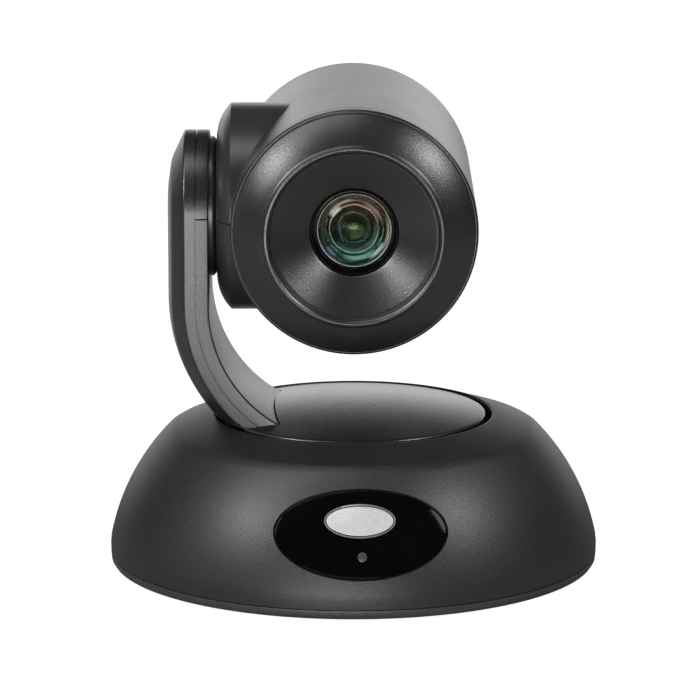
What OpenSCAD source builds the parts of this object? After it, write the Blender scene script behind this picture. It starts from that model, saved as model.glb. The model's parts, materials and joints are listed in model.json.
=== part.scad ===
// PTZ camera: a round table base, a turning platter with a curved arm, and a tilting
// camera head. Millimetres, +Z up, the origin at the middle of the plane it rests on.
// The front of the camera faces -Y, and the tilt axis lies along X.

/* [Base] */
// Radius of the base at its widest band
base_r = 100; // [99:0.5:101]
// Height of the rubber feet below the tray
foot_h = 0.8; // [0.6:0.1:1]
// Height of the seam between the tray and the cover
tray_top = 4.3; // [4.1:0.1:4.5]
// Height where the lower band turns into the curved side
band_top = 11; // [10:0.5:12]
// Radius of the arc that shapes the curved side
side_arc_r = 88.4; // [88:0.1:89]
// Height of the centre of that arc
side_arc_z = -6.7; // [-7:0.1:-6.4]
// Height of the shoulder where the curved side ends
shoulder_z = 55; // [54.5:0.1:55.2]
// Height of the rim of the round opening
rim_z = 62.1; // [61.9:0.1:62.4]
// Radius of the round opening
rim_r = 56.8; // [56.6:0.1:57.2]
// Wall thickness of the moulded covers
wall = 2.4; // [2.2:0.1:2.5]

/* [Window] */
// Half width of the oval receiver window
window_a = 34.5; // [33:0.5:36]
// Half height of the oval receiver window
window_b = 16.5; // [15:0.5:17]
// Height of the middle of the window
window_z = 32.7; // [32:0.1:33.5]
// Turn of the window about the middle of the base, in degrees
window_turn = 1.6; // [0:0.1:3]
// Half width of the oval badge
badge_a = 14.1; // [12:0.1:15]
// Half height of the oval badge
badge_b = 6.1; // [5:0.1:7]

/* [Turntable] */
// Radius of the domed platter
platter_r = 54.2; // [54:0.1:54.4]
// Height of the platter's edge
platter_z = 61.8; // [61.5:0.1:62]
// Rise of the platter from its edge to its middle
platter_rise = 5.4; // [5:0.1:5.6]
// Module of the pan gears
pan_module = 1.25; // [1.25]
// Teeth on the pan gear
pan_teeth = 60; // [60]
// Teeth on the pan motor's pinion
pan_pinion_teeth = 15; // [15]

/* [Arm] */
// Distance from the middle plane to the arm's inner face
arm_x = 58.3; // [58.2:0.1:58.5]
// Half width of the arm
arm_half = 31; // [30:0.5:31]
// Thickness of the arm in its middle
arm_deep = 17; // [16.8:0.1:17]
// Thickness of the arm at its long edges
arm_edge = 10.1; // [9.9:0.1:10.3]
// Distance from the inner face to the seam between the arm's shells
arm_seam = 5.3; // [5.2:0.1:5.6]
// Height where the arm's bend ends and its straight part begins
bend_z = 112; // [111.5:0.5:112.5]
// Inner radius of the arm's bend
bend_r = 56.1; // [56:0.1:56.3]

/* [Head] */
// Height of the tilt axis
tilt_z = 147.8; // [147.5:0.1:148.5]
// Radius of the head
head_r = 49.2; // [49:0.1:49.4]
// Distance from the tilt axis forward to the seam of the bezel
head_front = 53.1; // [52.8:0.1:53.4]
// Distance from the tilt axis back to the seam of the rear cap
head_back = 58.9; // [58.5:0.1:59]
// Radius of the side drum around the tilt axis
drum_r = 42; // [41.8:0.1:42]
// Distance from the middle plane to the face of the drum
drum_x = 55.4; // [55.3:0.1:55.5]
// Radius of the opening in the bezel for the lens
lens_open_r = 17.6; // [17.5:0.1:18]
// Module of the tilt gears
tilt_module = 1; // [1]
// Teeth on the fixed tilt gear
tilt_teeth = 36; // [36]
// Teeth on the tilt motor's pinion
tilt_pinion_teeth = 15; // [15]

/* [Hidden] */
$fn = 96;

// Colours of the parts
charcoal = [0.16, 0.16, 0.17];
satin_grey = [0.34, 0.35, 0.37];
gloss_black = [0.03, 0.03, 0.035];
steel = [0.72, 0.73, 0.75];
brass = [0.80, 0.64, 0.30];
board_green = [0.06, 0.28, 0.16];
white_resin = [0.88, 0.88, 0.84];
glass_tint = [0.35, 0.55, 0.50];

// Clearances
slack = 0.05; // running clearance of a shaft in its hole
gap = 0.6; // gap around the arm where it passes through the platter

// Base
band_in = 0.3; // the band draws in by this much before the curved side starts
side_arc_x = base_r - band_in - sqrt(pow(side_arc_r, 2) - pow(band_top - side_arc_z, 2));
side_a0 = asin((band_top - side_arc_z) / side_arc_r);
side_a1 = asin((shoulder_z - side_arc_z) / side_arc_r);
crown_r = 73.6;
crown_z = 56.7;
lip_z = rim_z - 4.2;
floor_t = 2.5; // thickness of the tray's floor
floor_z = foot_h + floor_t;
foot_r = 8;
foot_ring = 80;
foot_sunk = 1;
cover_screw_ring = 84;
cover_screw_angles = [30, 150, 210, 330];
tripod_r = 2.55; // minor radius of a 1/4-20 thread
tripod_body_r = 5;
tripod_depth = 9;
bracket_ring = 35;
bracket_hole_r = 1.65; // minor radius of an M4 thread
bracket_depth = 6;

// Rear connector bay
bay_half = 38;
bay_y = 78; // outer face of the connector panel
bay_z0 = 6.5;
bay_z1 = 34;
panel_t = 1.5;
board_z = 10;
board_t = 1.6;
port_z = board_z + board_t;

// Pan bearing and drive
frame_z = 38; // underside of the chassis plate
frame_t = 3;
leg_ring = 66;
spindle_r = 10;
spindle_bore = 6.5;
race_z = 34;
race_h = 6;
race_mid = race_z + race_h / 2;
ball_ring = 13.2;
ball_r = 1.6;
outer_race_r = 16;
pan_gear_z = 43;
pan_gear_h = 4;
hub_z = 47;
hub_t = 3;
hub_top = hub_z + hub_t;
hub_r = 54.4;
shoulder_r = 12;
pan_motor_r = 17.5;
pan_motor_h = 20;
pan_dir = -90; // direction of the pan pinion from the pan axis
pan_centres = pan_module * (pan_teeth + pan_pinion_teeth) / 2;
pan_shaft_r = 2;

// Arm
bend_x = arm_x - bend_r; // the bend turns about a line this far to the left of the middle
bend_sweep = 80;
foot_clip_r = 55.3;
foot_clip_z = 64;
foot_bottom = 58;
foot_inner_x = 29.5;
plate_u = 3.6; // the cast frame's place in the arm's thickness
plate_t = 3;
plate_half = 26;
arm_posts = [[18, bend_z + 13], [-18, bend_z + 13], [16, tilt_z + 13], [-16, tilt_z + 13]];
arm_screw_r = 1.25;

// Tilt axis, in distances from the middle plane towards the arm
shaft_r = 9;
shaft_bore = 6.2;
shaft_end = 40;
flange_r = 15;
flange_t = 3;
flange_x = arm_x + plate_u + plate_t;
spacer_r = 28.4;
spacer_gap = 0.3;
hub_hole_r = 10.5;
bush_r = 11;
bush_end = 46;
tilt_gear_x = 41.6;
tilt_gear_h = 4;
clip_t = 1;
tilt_dir = -45; // direction of the tilt pinion from the tilt axis, seen from the drum's side
tilt_centres = tilt_module * (tilt_teeth + tilt_pinion_teeth) / 2;
tilt_motor_r = 10;
tilt_motor_x0 = 26.2;
tilt_motor_x1 = 38.8;
motor_plate_t = 2;
tilt_shaft_pin_r = 1.5;

// Head
drum_face_r = 28;
drum_round = (pow(drum_r - drum_face_r, 2) + pow(5.9, 2)) / (2 * 5.9);
bezel_band = 58.9;
bezel_crest_r = 34.4;
bezel_crest = 69.5;
cap_end = 63;
floor_top = -28.5; // top of the head frame's floor, from the tilt axis
floor_low = -31;
head_posts = [[12, -28], [-12, -28], [12, 30], [-12, 30]];

// Camera block, all from the tilt axis
block_half = 24;
block_front = -44;
block_back = 40;
block_top = 27;
block_wall = 2;
barrel_r = 17.2;
barrel_end = 59.9;
glass_r = 15.2;
rods = [[-17, -14], [17, 14]];
rod_r = 1.5;
bulkhead_y = 26;

function arc(c, r, a0, a1, n) =
    [for (i = [0:n]) let (a = a0 + (a1 - a0) * i / n) c + r * [cos(a), sin(a)]];
function reverse(p) = [for (i = [len(p) - 1:-1:0]) p[i]];
// A shallow curve from p to q that bows to its left by s
function bow(p, q, s, n) = let (d = q - p, k = [-d[1], d[0]] / norm(d))
    [for (i = [0:n]) let (t = i / n) p + d * t + k * (4 * s * t * (1 - t))];
function side(d) = arc([side_arc_x, side_arc_z], side_arc_r - d, side_a0, side_a1, 18);
function ellipse(a, b, n) = [for (i = [0:n - 1]) [a * cos(360 * i / n), b * sin(360 * i / n)]];

// ---------- shared shapes ----------

// A tube or disc along -X, from x0 to x1 left of the middle, around the tilt axis
module along_arm(x0, x1, r, y = 0, z = 0) {
    translate([-x0, y, tilt_z + z]) rotate([0, -90, 0]) cylinder(h = x1 - x0, r = r);
}
// A cylinder along Y in the head, from y0 to y1 behind the tilt axis
module along_head(y0, y1, r, x = 0, z = 0) {
    translate([x, y1, tilt_z + z]) rotate([90, 0, 0]) cylinder(h = y1 - y0, r = r);
}
// A box in the head, from corner to corner, measured from the tilt axis
module head_box(a, b) {
    translate([a[0], a[1], tilt_z + a[2]]) cube(b - a);
}
module box(a, b) {
    translate(a) cube(b - a);
}
// Revolves a profile of (radius, distance in front of the tilt axis) about the head's axis
module turned_head(points) {
    translate([0, 0, tilt_z]) rotate([90, 0, 0]) rotate_extrude() polygon(points);
}
module ring(z0, z1, r0, r1) {
    difference() {
        translate([0, 0, z0]) cylinder(h = z1 - z0, r = r1);
        translate([0, 0, z0 - 1]) cylinder(h = z1 - z0 + 2, r = r0);
    }
}

function involute(a) = tan(a) * 180 / PI - a;
// Half the angle that a tooth fills at radius r
function tooth_half(m, z, r, thin) = let (rp = m * z / 2, rb = rp * cos(20), q = max(r, rb))
    90 / z - thin / (2 * rp) * 180 / PI + involute(20) - involute(acos(rb / q));
function tooth(m, z, at, thin) = let (
    rp = m * z / 2, rb = rp * cos(20), root = rp - 1.2 * m, tip = rp + 0.85 * m,
    steps = [root, max(rb, root), rp - 0.1 * m, rp + 0.4 * m, tip])
    concat(
        [for (r = steps) let (a = at - tooth_half(m, z, r, thin)) r * [cos(a), sin(a)]],
        [for (r = reverse(steps)) let (a = at + tooth_half(m, z, r, thin)) r * [cos(a), sin(a)]]);
// A spur gear with involute teeth, one of them centred on the direction turn
module spur(m, z, h, turn) {
    thin = 0.14;
    linear_extrude(height = h)
        polygon([for (i = [0:z - 1]) each tooth(m, z, turn + 360 * i / z, thin)]);
}

// ---------- base ----------

function base_outline(d) = concat(
    [[base_r - d - 0.1, tray_top], [base_r - d, tray_top + 1], [base_r - d, band_top - 3]],
    side(d),
    [[crown_r - 0.35 * d, crown_z - 0.95 * d]]);
// The rim's lip, from the sloping top down around the opening
lip = [[rim_r + 0.5, rim_z], [rim_r, rim_z - 0.5], [rim_r, lip_z], [rim_r + wall, lip_z],
    [rim_r + wall, rim_z - 0.6 - wall]];

module base_solid() {
    rotate_extrude() polygon(concat([[0, tray_top]], base_outline(0), [lip[0], [0, rim_z]]));
}
module side_layer(d0, d1) {
    rotate_extrude() polygon(concat(side(d0), reverse(side(d1))));
}
// An oval bar that runs forward from the middle of the base
module oval_bar(a, b, x, z) {
    rotate([0, 0, window_turn]) translate([x, 0, z]) rotate([90, 0, 0])
        linear_extrude(height = base_r + 5) polygon(ellipse(a, b, 60));
}
module at_cover_screws() {
    for (a = cover_screw_angles) rotate([0, 0, a]) translate([cover_screw_ring, 0, 0]) children();
}

module base_cover() {
    post_top = 40;
    color(charcoal) difference() {
        union() {
            rotate_extrude() polygon(concat(base_outline(0), lip, reverse(base_outline(wall))));
            at_cover_screws() translate([0, 0, floor_z]) cylinder(h = post_top - floor_z, r = 3.5);
            intersection() {
                base_solid();
                box([-bay_half - wall, bay_y, tray_top], [bay_half + wall, base_r, bay_z1 + wall]);
            }
        }
        oval_bar(window_a + 0.1, window_b + 0.1, 0, window_z);
        box([-bay_half, bay_y - 1, bay_z0], [bay_half, base_r + 1, bay_z1]);
        at_cover_screws() translate([0, 0, floor_z - 1]) cylinder(h = 12, r = 1.5);
    }
}

module base_plate() {
    post_x = [-20, 20];
    color(charcoal) difference() {
        union() {
            rotate_extrude() polygon([[0, foot_h], [98.9, foot_h], [base_r - 0.3, 2],
                [base_r - 0.1, tray_top], [base_r - 3.5, tray_top], [base_r - 3.5, floor_z],
                [0, floor_z]]);
            cylinder(h = foot_h + tripod_depth + 1, r = tripod_body_r + 3);
            for (a = [45:90:315]) rotate([0, 0, a]) translate([bracket_ring, 0, foot_h])
                cylinder(h = bracket_depth + 1.5, r = 4);
            for (x = post_x) box([x - 2, -78, foot_h], [x + 2, -75, 39]);
            for (x = [-36, 36], y = [20, 56]) translate([x, y, foot_h])
                cylinder(h = board_z - foot_h, r = 3);
        }
        translate([0, 0, -1]) cylinder(h = foot_h + 1, r = base_r);
        translate([0, 0, foot_h - 1]) cylinder(h = tripod_depth + 1, r = tripod_body_r);
        for (a = [45:90:315]) rotate([0, 0, a]) {
            translate([bracket_ring, 0, foot_h - 1]) cylinder(h = bracket_depth + 1, r = bracket_hole_r);
            translate([foot_ring, 0, foot_h - 1]) cylinder(h = 1 + foot_sunk, r = foot_r);
        }
        at_cover_screws() {
            translate([0, 0, foot_h - 1]) cylinder(h = 2.5, r = 3);
            cylinder(h = 10, r = 1.6);
        }
    }
}

module base_feet() {
    color(gloss_black) for (a = [45:90:315]) rotate([0, 0, a]) translate([foot_ring, 0, 0])
        cylinder(h = foot_h + foot_sunk, r = foot_r);
}

module tripod_insert() {
    color(brass) translate([0, 0, foot_h]) difference() {
        cylinder(h = tripod_depth, r = tripod_body_r);
        translate([0, 0, -1]) cylinder(h = tripod_depth, r = tripod_r);
    }
}

module base_screws() {
    color(steel) at_cover_screws() {
        translate([0, 0, foot_h + 0.1]) cylinder(h = 1.4, r = 2.75);
        translate([0, 0, foot_h + 0.1]) cylinder(h = 11, r = 1.5);
    }
}

module ir_window() {
    flange = 1.5;
    color(gloss_black) difference() {
        union() {
            intersection() {
                side_layer(0, wall);
                oval_bar(window_a, window_b, 0, window_z);
            }
            intersection() {
                side_layer(wall, wall + 1);
                oval_bar(window_a + flange, window_b + flange, 0, window_z);
            }
        }
        led_bar(2.15);
    }
}

module badge() {
    color(steel) intersection() {
        side_layer(-0.9, 0);
        oval_bar(badge_a, badge_b, -0.4, 38.1);
    }
}

module led_bar(r) {
    rotate([0, 0, window_turn]) translate([0.3, -79, 25.2]) rotate([90, 0, 0]) cylinder(h = 30, r = r);
}
module status_led() {
    color([0.45, 0.47, 0.48]) intersection() {
        base_solid();
        led_bar(2.15);
    }
}

module ir_board() {
    color(board_green) difference() {
        box([-24, -79.6, 20], [24, -78, 39]);
        led_bar(2.15);
    }
}

module ir_receivers() {
    color(gloss_black) for (x = [-14, 0, 14]) {
        box([x - 3, -83.6, 30], [x + 3, -79.6, 37]);
        translate([x, -83.6, 33.5]) rotate([90, 0, 0]) cylinder(h = 2, r = 2.4);
    }
}

module main_board() {
    chips = [[-14, 46, 12], [16, 50, 9], [30, 30, 6]];
    color(board_green) difference() {
        union() {
            box([-41, 14, board_z], [41, 62, port_z]);
            box([-38, 61, board_z], [38, bay_y - panel_t - 1, port_z]);
            for (c = chips) box([c[0] - c[2] / 2, c[1] - c[2] / 2, port_z],
                [c[0] + c[2] / 2, c[1] + c[2] / 2, port_z + 1.4]);
            box([selector_x - 5, bay_y - 13, port_z], [selector_x + 5, bay_y - 4, port_z + 10]);
        }
        selector_axis(1 + slack, bay_y - 12, bay_y);
    }
}

module heat_sink() {
    color(steel) {
        box([-30, 22, port_z], [8, 40, port_z + 2]);
        for (i = [0:6]) box([-30 + 6 * i, 22, port_z + 1], [-28 + 6 * i, 40, port_z + 9]);
    }
}

// Where each connector stands on the board, as its middle in X
dc_x = -31;
serial_x = -17;
lan_x = 0;
hdmi_x = 18;
selector_x = 32;
selector_z = port_z + 5;

module selector_axis(r, y0, y1) {
    translate([selector_x, y1, selector_z]) rotate([90, 0, 0]) cylinder(h = y1 - y0, r = r);
}
// In the bay, y is measured back from the panel's outer face
module bay_cylinder(x, z, r, y0, y1) {
    translate([x, bay_y + y1, z]) rotate([90, 0, 0]) cylinder(h = y1 - y0, r = r);
}
// A box in the bay, standing on the board: its middle x, half width, and (y, z) corners
module bay_box(x, half, low, high) {
    box([x - half, bay_y + low[0], port_z + low[1]], [x + half, bay_y + high[0], port_z + high[1]]);
}

module rear_panel() {
    color(gloss_black) difference() {
        box([-bay_half - wall, bay_y - panel_t, floor_z], [bay_half + wall, bay_y, bay_z1 + wall]);
        bay_cylinder(dc_x, port_z + 5.5, 4.6, -panel_t - 1, 1);
        bay_cylinder(serial_x, port_z + 6, 5.6, -panel_t - 1, 1);
        bay_box(lan_x, 8.1, [-panel_t - 1, -0.1], [1, 13.6]);
        bay_box(hdmi_x, 7.6, [-panel_t - 1, -0.1], [1, 6.1]);
        selector_axis(3.5, bay_y - panel_t - 1, bay_y + 1);
    }
}

module dc_jack() {
    z = port_z + 5.5;
    color(gloss_black) {
        difference() {
            union() {
                bay_box(dc_x, 4.5, [-15, 0], [-panel_t, 11]);
                bay_cylinder(dc_x, z, 4.5, -panel_t - 1, 0.6);
            }
            bay_cylinder(dc_x, z, 2.8, -10, 5);
        }
        bay_cylinder(dc_x, z, 1, -11, -0.5);
    }
}

module lan_port() {
    color(steel) difference() {
        bay_box(lan_x, 8, [-17, 0], [0.6, 13.5]);
        bay_box(lan_x, 5.9, [-13, 4], [5, 12]);
        bay_box(lan_x, 3, [-13, 1.5], [5, 5]);
    }
}

module serial_port() {
    z = port_z + 6;
    color(gloss_black) {
        difference() {
            union() {
                bay_box(serial_x, 6, [-14, 0], [-panel_t, 12]);
                bay_cylinder(serial_x, z, 5.5, -panel_t - 1, 0.6);
            }
            bay_cylinder(serial_x, z, 4.4, -6, 5);
        }
        for (a = [30:60:330]) bay_cylinder(serial_x + 2.6 * cos(a), z + 2.6 * sin(a), 0.5, -7, -1);
    }
}

module hdmi_port() {
    color(steel) {
        difference() {
            bay_box(hdmi_x, 7.5, [-13, 0], [0.6, 6]);
            bay_box(hdmi_x, 7, [-10, 0.6], [5, 5.4]);
        }
        bay_box(hdmi_x, 5.5, [-11, 2.4], [-1, 3.6]);
    }
}

module format_selector() {
    slot = [0.4, 2.4];
    color(white_resin) difference() {
        union() {
            selector_axis(3.2, bay_y - 3.5, bay_y + 0.4);
            selector_axis(1, bay_y - 11, bay_y - 3);
        }
        box([selector_x - slot[0], bay_y - 0.6, selector_z - slot[1]],
            [selector_x + slot[0], bay_y + 1, selector_z + slot[1]]);
    }
}

// ---------- pan drive in the base ----------

module at_pan_pinion() {
    rotate([0, 0, pan_dir]) translate([pan_centres, 0, 0]) children();
}

module base_frame() {
    color(steel) difference() {
        union() {
            translate([0, 0, frame_z]) cylinder(h = frame_t, r = 72);
            translate([0, 0, race_z - 1]) cylinder(h = frame_z + frame_t - race_z + 1, r = outer_race_r + 4);
            for (a = [45:90:315]) rotate([0, 0, a]) translate([leg_ring, 0, floor_z])
                cylinder(h = frame_z - floor_z + 1, r = 4);
        }
        translate([0, 0, race_z]) cylinder(h = 20, r = outer_race_r);
        cylinder(h = 60, r = outer_race_r - 1.5);
        at_pan_pinion() cylinder(h = 60, r = 5.5);
        for (a = [0, 90, 180]) rotate([0, 0, a]) translate([46, 0, 0]) cylinder(h = 60, r = 12);
    }
}

module race_groove() {
    rotate_extrude() translate([ball_ring, race_mid]) circle(r = ball_r + slack);
}
module pan_bearing_outer() {
    color(steel) difference() {
        ring(race_z, race_z + race_h, 14.3, outer_race_r);
        race_groove();
    }
}
module pan_bearing_inner() {
    color(steel) difference() {
        ring(race_z, race_z + race_h, spindle_r, 12.1);
        race_groove();
    }
}
module pan_balls() {
    color(steel) {
        ring(race_mid - 0.5, race_mid + 0.5, 12.5, 13.9);
        for (a = [0:30:330]) rotate([0, 0, a]) translate([ball_ring, 0, race_mid]) sphere(r = ball_r);
    }
}

module pan_motor() {
    color([0.25, 0.25, 0.27]) at_pan_pinion() difference() {
        union() {
            translate([0, 0, frame_z - pan_motor_h]) cylinder(h = pan_motor_h, r = pan_motor_r);
            translate([0, 0, frame_z - 1]) cylinder(h = 3, r = 5.5);
        }
        translate([0, 0, frame_z - 14]) cylinder(h = 20, r = pan_shaft_r + slack);
    }
}

module pan_pinion() {
    color(brass) at_pan_pinion() {
        translate([0, 0, pan_gear_z - 0.4])
            spur(pan_module, pan_pinion_teeth, pan_gear_h, 180 - 180 / pan_pinion_teeth);
        translate([0, 0, frame_z - 13]) cylinder(h = pan_gear_z + 1 - frame_z + 13, r = pan_shaft_r);
    }
}

// ---------- turntable ----------

module pan_gear() {
    color(white_resin) difference() {
        translate([0, 0, pan_gear_z]) spur(pan_module, pan_teeth, pan_gear_h, pan_dir);
        cylinder(h = 60, r = shoulder_r);
    }
}

module turntable_hub() {
    shaft_low = 31;
    color(steel) difference() {
        union() {
            translate([0, 0, hub_z]) cylinder(h = hub_t, r = hub_r);
            translate([0, 0, race_z + race_h]) cylinder(h = hub_z - race_z - race_h + 1, r = shoulder_r);
            translate([0, 0, shaft_low]) cylinder(h = 14, r = spindle_r);
        }
        cylinder(h = 60, r = spindle_bore);
    }
}

module spindle_clip() {
    color(steel) ring(race_z - 1.2, race_z, spindle_r, shoulder_r);
}

// The arm's full form grown by g, with straight sides down through the platter
module arm_passage(g) {
    bend_path() square_section(-g, arm_deep + 20, arm_half + g);
    box([-base_r, -arm_half - g, hub_top - 1], [-foot_inner_x + g, arm_half + g, 62.5]);
}

module platter() {
    dome_r = (pow(platter_r, 2) + pow(platter_rise, 2)) / (2 * platter_rise);
    dome_c = [0, platter_z + platter_rise - dome_r];
    edge_a = 90 - asin(platter_r / dome_r);
    color(satin_grey) difference() {
        rotate_extrude() polygon(concat(
            arc(dome_c, dome_r, edge_a, 90, 12),
            reverse(arc(dome_c, dome_r - wall, edge_a + 0.5, 90, 12)),
            [[platter_r - wall, hub_top], [platter_r, hub_top]]));
        arm_passage(gap);
    }
}

// ---------- arm ----------

// A section is drawn as (distance out from the inner face, place along Y)
module square_section(u0, u1, half) {
    polygon([[u0, -half], [u1, -half], [u1, half], [u0, half]]);
}
// The outer side of the arm moved in by d, from its long edge to its middle
function arm_line(d) = [[arm_edge - 0.6 * d, arm_half - d], [arm_deep - 1.5 - 0.95 * d, 19.5 - 0.3 * d],
    [arm_deep - 0.4 - d, 14.5 - 0.15 * d], [arm_deep - d, 10]];
function flip(p) = [for (q = reverse(p)) [q[0], -q[1]]];
module outer_section(d, u) {
    line = arm_line(d);
    polygon(concat([[u, arm_half - d]], line, flip(line), [[u, d - arm_half]]));
}
// Carries a section down the arm's bend
module bend_path() {
    translate([-bend_x, 0, bend_z]) rotate([90, 0, 0]) rotate([0, 0, 180])
        rotate_extrude(angle = bend_sweep) translate([bend_r, 0]) children();
}
module straight_path(z0, z1) {
    translate([-arm_x, 0, z0]) mirror([1, 0, 0]) linear_extrude(height = z1 - z0) children();
}
module round_path() {
    translate([-arm_x, 0, tilt_z]) rotate([0, -90, 0]) rotate([0, 0, -90])
        rotate_extrude(angle = 180) intersection() {
            mirror([1, -1, 0]) children();
            square([arm_half + 5, arm_deep + 5]);
        }
}
// Trims the bottom of the arm so that it turns inside the round opening
module foot_trim() {
    intersection() {
        children();
        union() {
            translate([0, 0, foot_bottom]) cylinder(h = foot_clip_z - foot_bottom, r = foot_clip_r);
            box([-base_r, -40, foot_clip_z], [0, 40, tilt_z + 40]);
        }
        box([-base_r, -40, 0], [-foot_inner_x, 40, tilt_z + 40]);
    }
}
module arm_post(p, u0, u1, r) {
    translate([-arm_x - u0, p[0], p[1]]) rotate([0, -90, 0]) cylinder(h = u1 - u0, r = r);
}

module outer_shell_section() {
    difference() {
        outer_section(0, arm_seam);
        outer_section(wall, arm_seam - 1);
    }
}
module inner_cover_section() {
    difference() {
        square_section(0, arm_seam, arm_half);
        square_section(wall - 0.2, arm_seam + 1, arm_half - wall);
    }
}

module arm_outer_shell() {
    color(charcoal) difference() {
        union() {
            foot_trim() bend_path() outer_shell_section();
            straight_path(bend_z, tilt_z) outer_shell_section();
            round_path() outer_shell_section();
            for (p = arm_posts) arm_post(p, plate_u + plate_t, 13.9, 3);
        }
        for (p = arm_posts) arm_post(p, plate_u, 12, arm_screw_r);
    }
}

module arm_upper_cover() {
    color(satin_grey) difference() {
        round_path() inner_cover_section();
        along_arm(arm_x - 1, arm_x + 5, shaft_r + 1);
    }
}

module arm_lower_cover() {
    color(satin_grey) difference() {
        union() {
            foot_trim() bend_path() inner_cover_section();
            straight_path(bend_z, tilt_z) inner_cover_section();
        }
        along_arm(arm_x - 1, arm_x + 5, shaft_r + 1);
    }
}

module plate_section() {
    square_section(plate_u, plate_u + plate_t, plate_half);
}

module arm_frame() {
    plate_sweep = 52;
    color([0.55, 0.56, 0.58]) difference() {
        union() {
            intersection() {
                bend_path() plate_section();
                box([-base_r, -40, 62], [0, 40, bend_z]);
            }
            straight_path(bend_z, tilt_z) plate_section();
            round_path() plate_section();
            for (y = [-20, 9]) difference() {
                box([-46, y, hub_top], [-36, y + 11, 66]);
                translate([-bend_x, -40, bend_z]) rotate([-90, 0, 0]) cylinder(h = 80, r = bend_r + plate_u);
            }
        }
        along_arm(arm_x, arm_x + 20, shaft_r);
        for (p = arm_posts) arm_post(p, 0, 12, arm_screw_r + 0.3);
    }
}

module arm_screws() {
    color(steel) for (p = arm_posts) {
        arm_post(p, plate_u - 1.2, plate_u, 2.6);
        arm_post(p, plate_u - 0.2, 11, arm_screw_r);
    }
}

// A flat cable, from the hollow tilt shaft down the arm and through the spindle
module arm_cable() {
    half = 7;
    t = 0.4;
    u = plate_u + plate_t + flange_t;
    landing = bend_z - hub_top - t; // from the bend's centre down to the top of the flat run
    landing_x = -bend_x - sqrt(pow(bend_r + u + t, 2) - pow(landing, 2)) - 0.5;
    color(gloss_black) {
        straight_path(bend_z, tilt_z - 4) square_section(u, u + t, half);
        intersection() {
            bend_path() square_section(u, u + t, half);
            box([-base_r, -base_r, hub_top + t], [0, base_r, tilt_z]);
        }
        box([landing_x, -half, hub_top], [-3, half, hub_top + t]);
        box([-3.4, -4, 20], [-3, 4, hub_top + t]);
    }
}

module tilt_spacer() {
    color(satin_grey) difference() {
        along_arm(drum_x + spacer_gap, arm_x, spacer_r);
        along_arm(drum_x - 1, arm_x + 1, shaft_r + 1);
    }
}

module tilt_shaft() {
    color(steel) difference() {
        union() {
            along_arm(flange_x, flange_x + flange_t, flange_r);
            along_arm(shaft_end, flange_x + 1, shaft_r);
        }
        along_arm(shaft_end - 1, flange_x + flange_t + 1, shaft_bore);
    }
}

// Turns a gear about an axis that runs towards the arm, with its first tooth along a direction
module gear_on_axis(x0, m, z, h, turn) {
    translate([-x0, 0, tilt_z]) rotate([0, -90, 0]) rotate([0, 0, 90]) mirror([0, 1, 0])
        spur(m, z, h, turn);
}

module tilt_gear() {
    color(white_resin) difference() {
        gear_on_axis(tilt_gear_x, tilt_module, tilt_teeth, tilt_gear_h, tilt_dir);
        along_arm(shaft_end, flange_x, shaft_r);
    }
}

module shaft_clip() {
    color(steel) difference() {
        along_arm(tilt_gear_x - clip_t, tilt_gear_x, shaft_r + 2);
        along_arm(shaft_end - 1, flange_x, shaft_r);
    }
}

// ---------- head ----------

// The head's round body and side drum, moved in by d
module head_form(d) {
    round = drum_round - d;
    a0 = acos((drum_r - d - drum_face_r) / round);
    along_head(-head_front - (d > 0 ? 1 : 0), head_back + (d > 0 ? 1 : 0), head_r - d);
    translate([0, 0, tilt_z]) rotate([0, -90, 0]) rotate_extrude() polygon(concat(
        [[0, 25 - d / 2], [drum_r - d, 25 - d / 2]],
        arc([drum_face_r, drum_x - drum_round], round, a0, 90, 8),
        [[0, drum_x - d]]));
}
module head_hollow() {
    difference() {
        head_form(0);
        head_form(wall);
        along_arm(drum_x - 10, drum_x + 1, hub_hole_r);
    }
}

module head_upper_shell() {
    color(satin_grey) intersection() {
        head_hollow();
        box([-80, -80, tilt_z], [80, 80, tilt_z + 80]);
    }
}

module head_lower_shell() {
    color(satin_grey) difference() {
        union() {
            intersection() {
                head_hollow();
                box([-80, -80, tilt_z - 80], [80, 80, tilt_z]);
            }
            for (p = head_posts) intersection() {
                head_form(0);
                translate([p[0], p[1], tilt_z - 60]) cylinder(h = 60 + floor_low, r = 4.5);
            }
        }
        for (p = head_posts) translate([p[0], p[1], tilt_z - 60]) {
            cylinder(h = 60, r = 1.5);
            cylinder(h = 60 + floor_low - 6, r = 2.9);
        }
    }
}

module head_screws() {
    seat = floor_low - 6;
    color(steel) for (p = head_posts) translate([p[0], p[1], tilt_z + seat]) {
        translate([0, 0, -1.6]) cylinder(h = 1.6, r = 2.6);
        translate([0, 0, -0.2]) cylinder(h = floor_top - seat, r = 1.3);
    }
}

module front_bezel() {
    face_start = [48, 60.1];
    face_end = [bezel_crest_r + 1, bezel_crest - 0.5];
    dish_start = [bezel_crest_r - 1, bezel_crest - 0.5];
    dish_end = [lens_open_r, 60.2];
    step = [0, 2.2];
    color(charcoal) turned_head(concat(
        [[head_r - wall, head_front], [head_r, head_front], [head_r, bezel_band], [48.8, 59.7]],
        bow(face_start, face_end, -1.1, 8),
        [[bezel_crest_r, bezel_crest]],
        bow(dish_start, dish_end, 1.5, 8),
        [[lens_open_r, 57.6], [lens_open_r + 2, 57.6]],
        reverse(bow(dish_start - step, [lens_open_r + 2, 58.2], 1.2, 8)),
        [[bezel_crest_r, bezel_crest - 2.6]],
        reverse(bow([head_r - wall, 58], face_end - step, -1.1, 8))));
}

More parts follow.
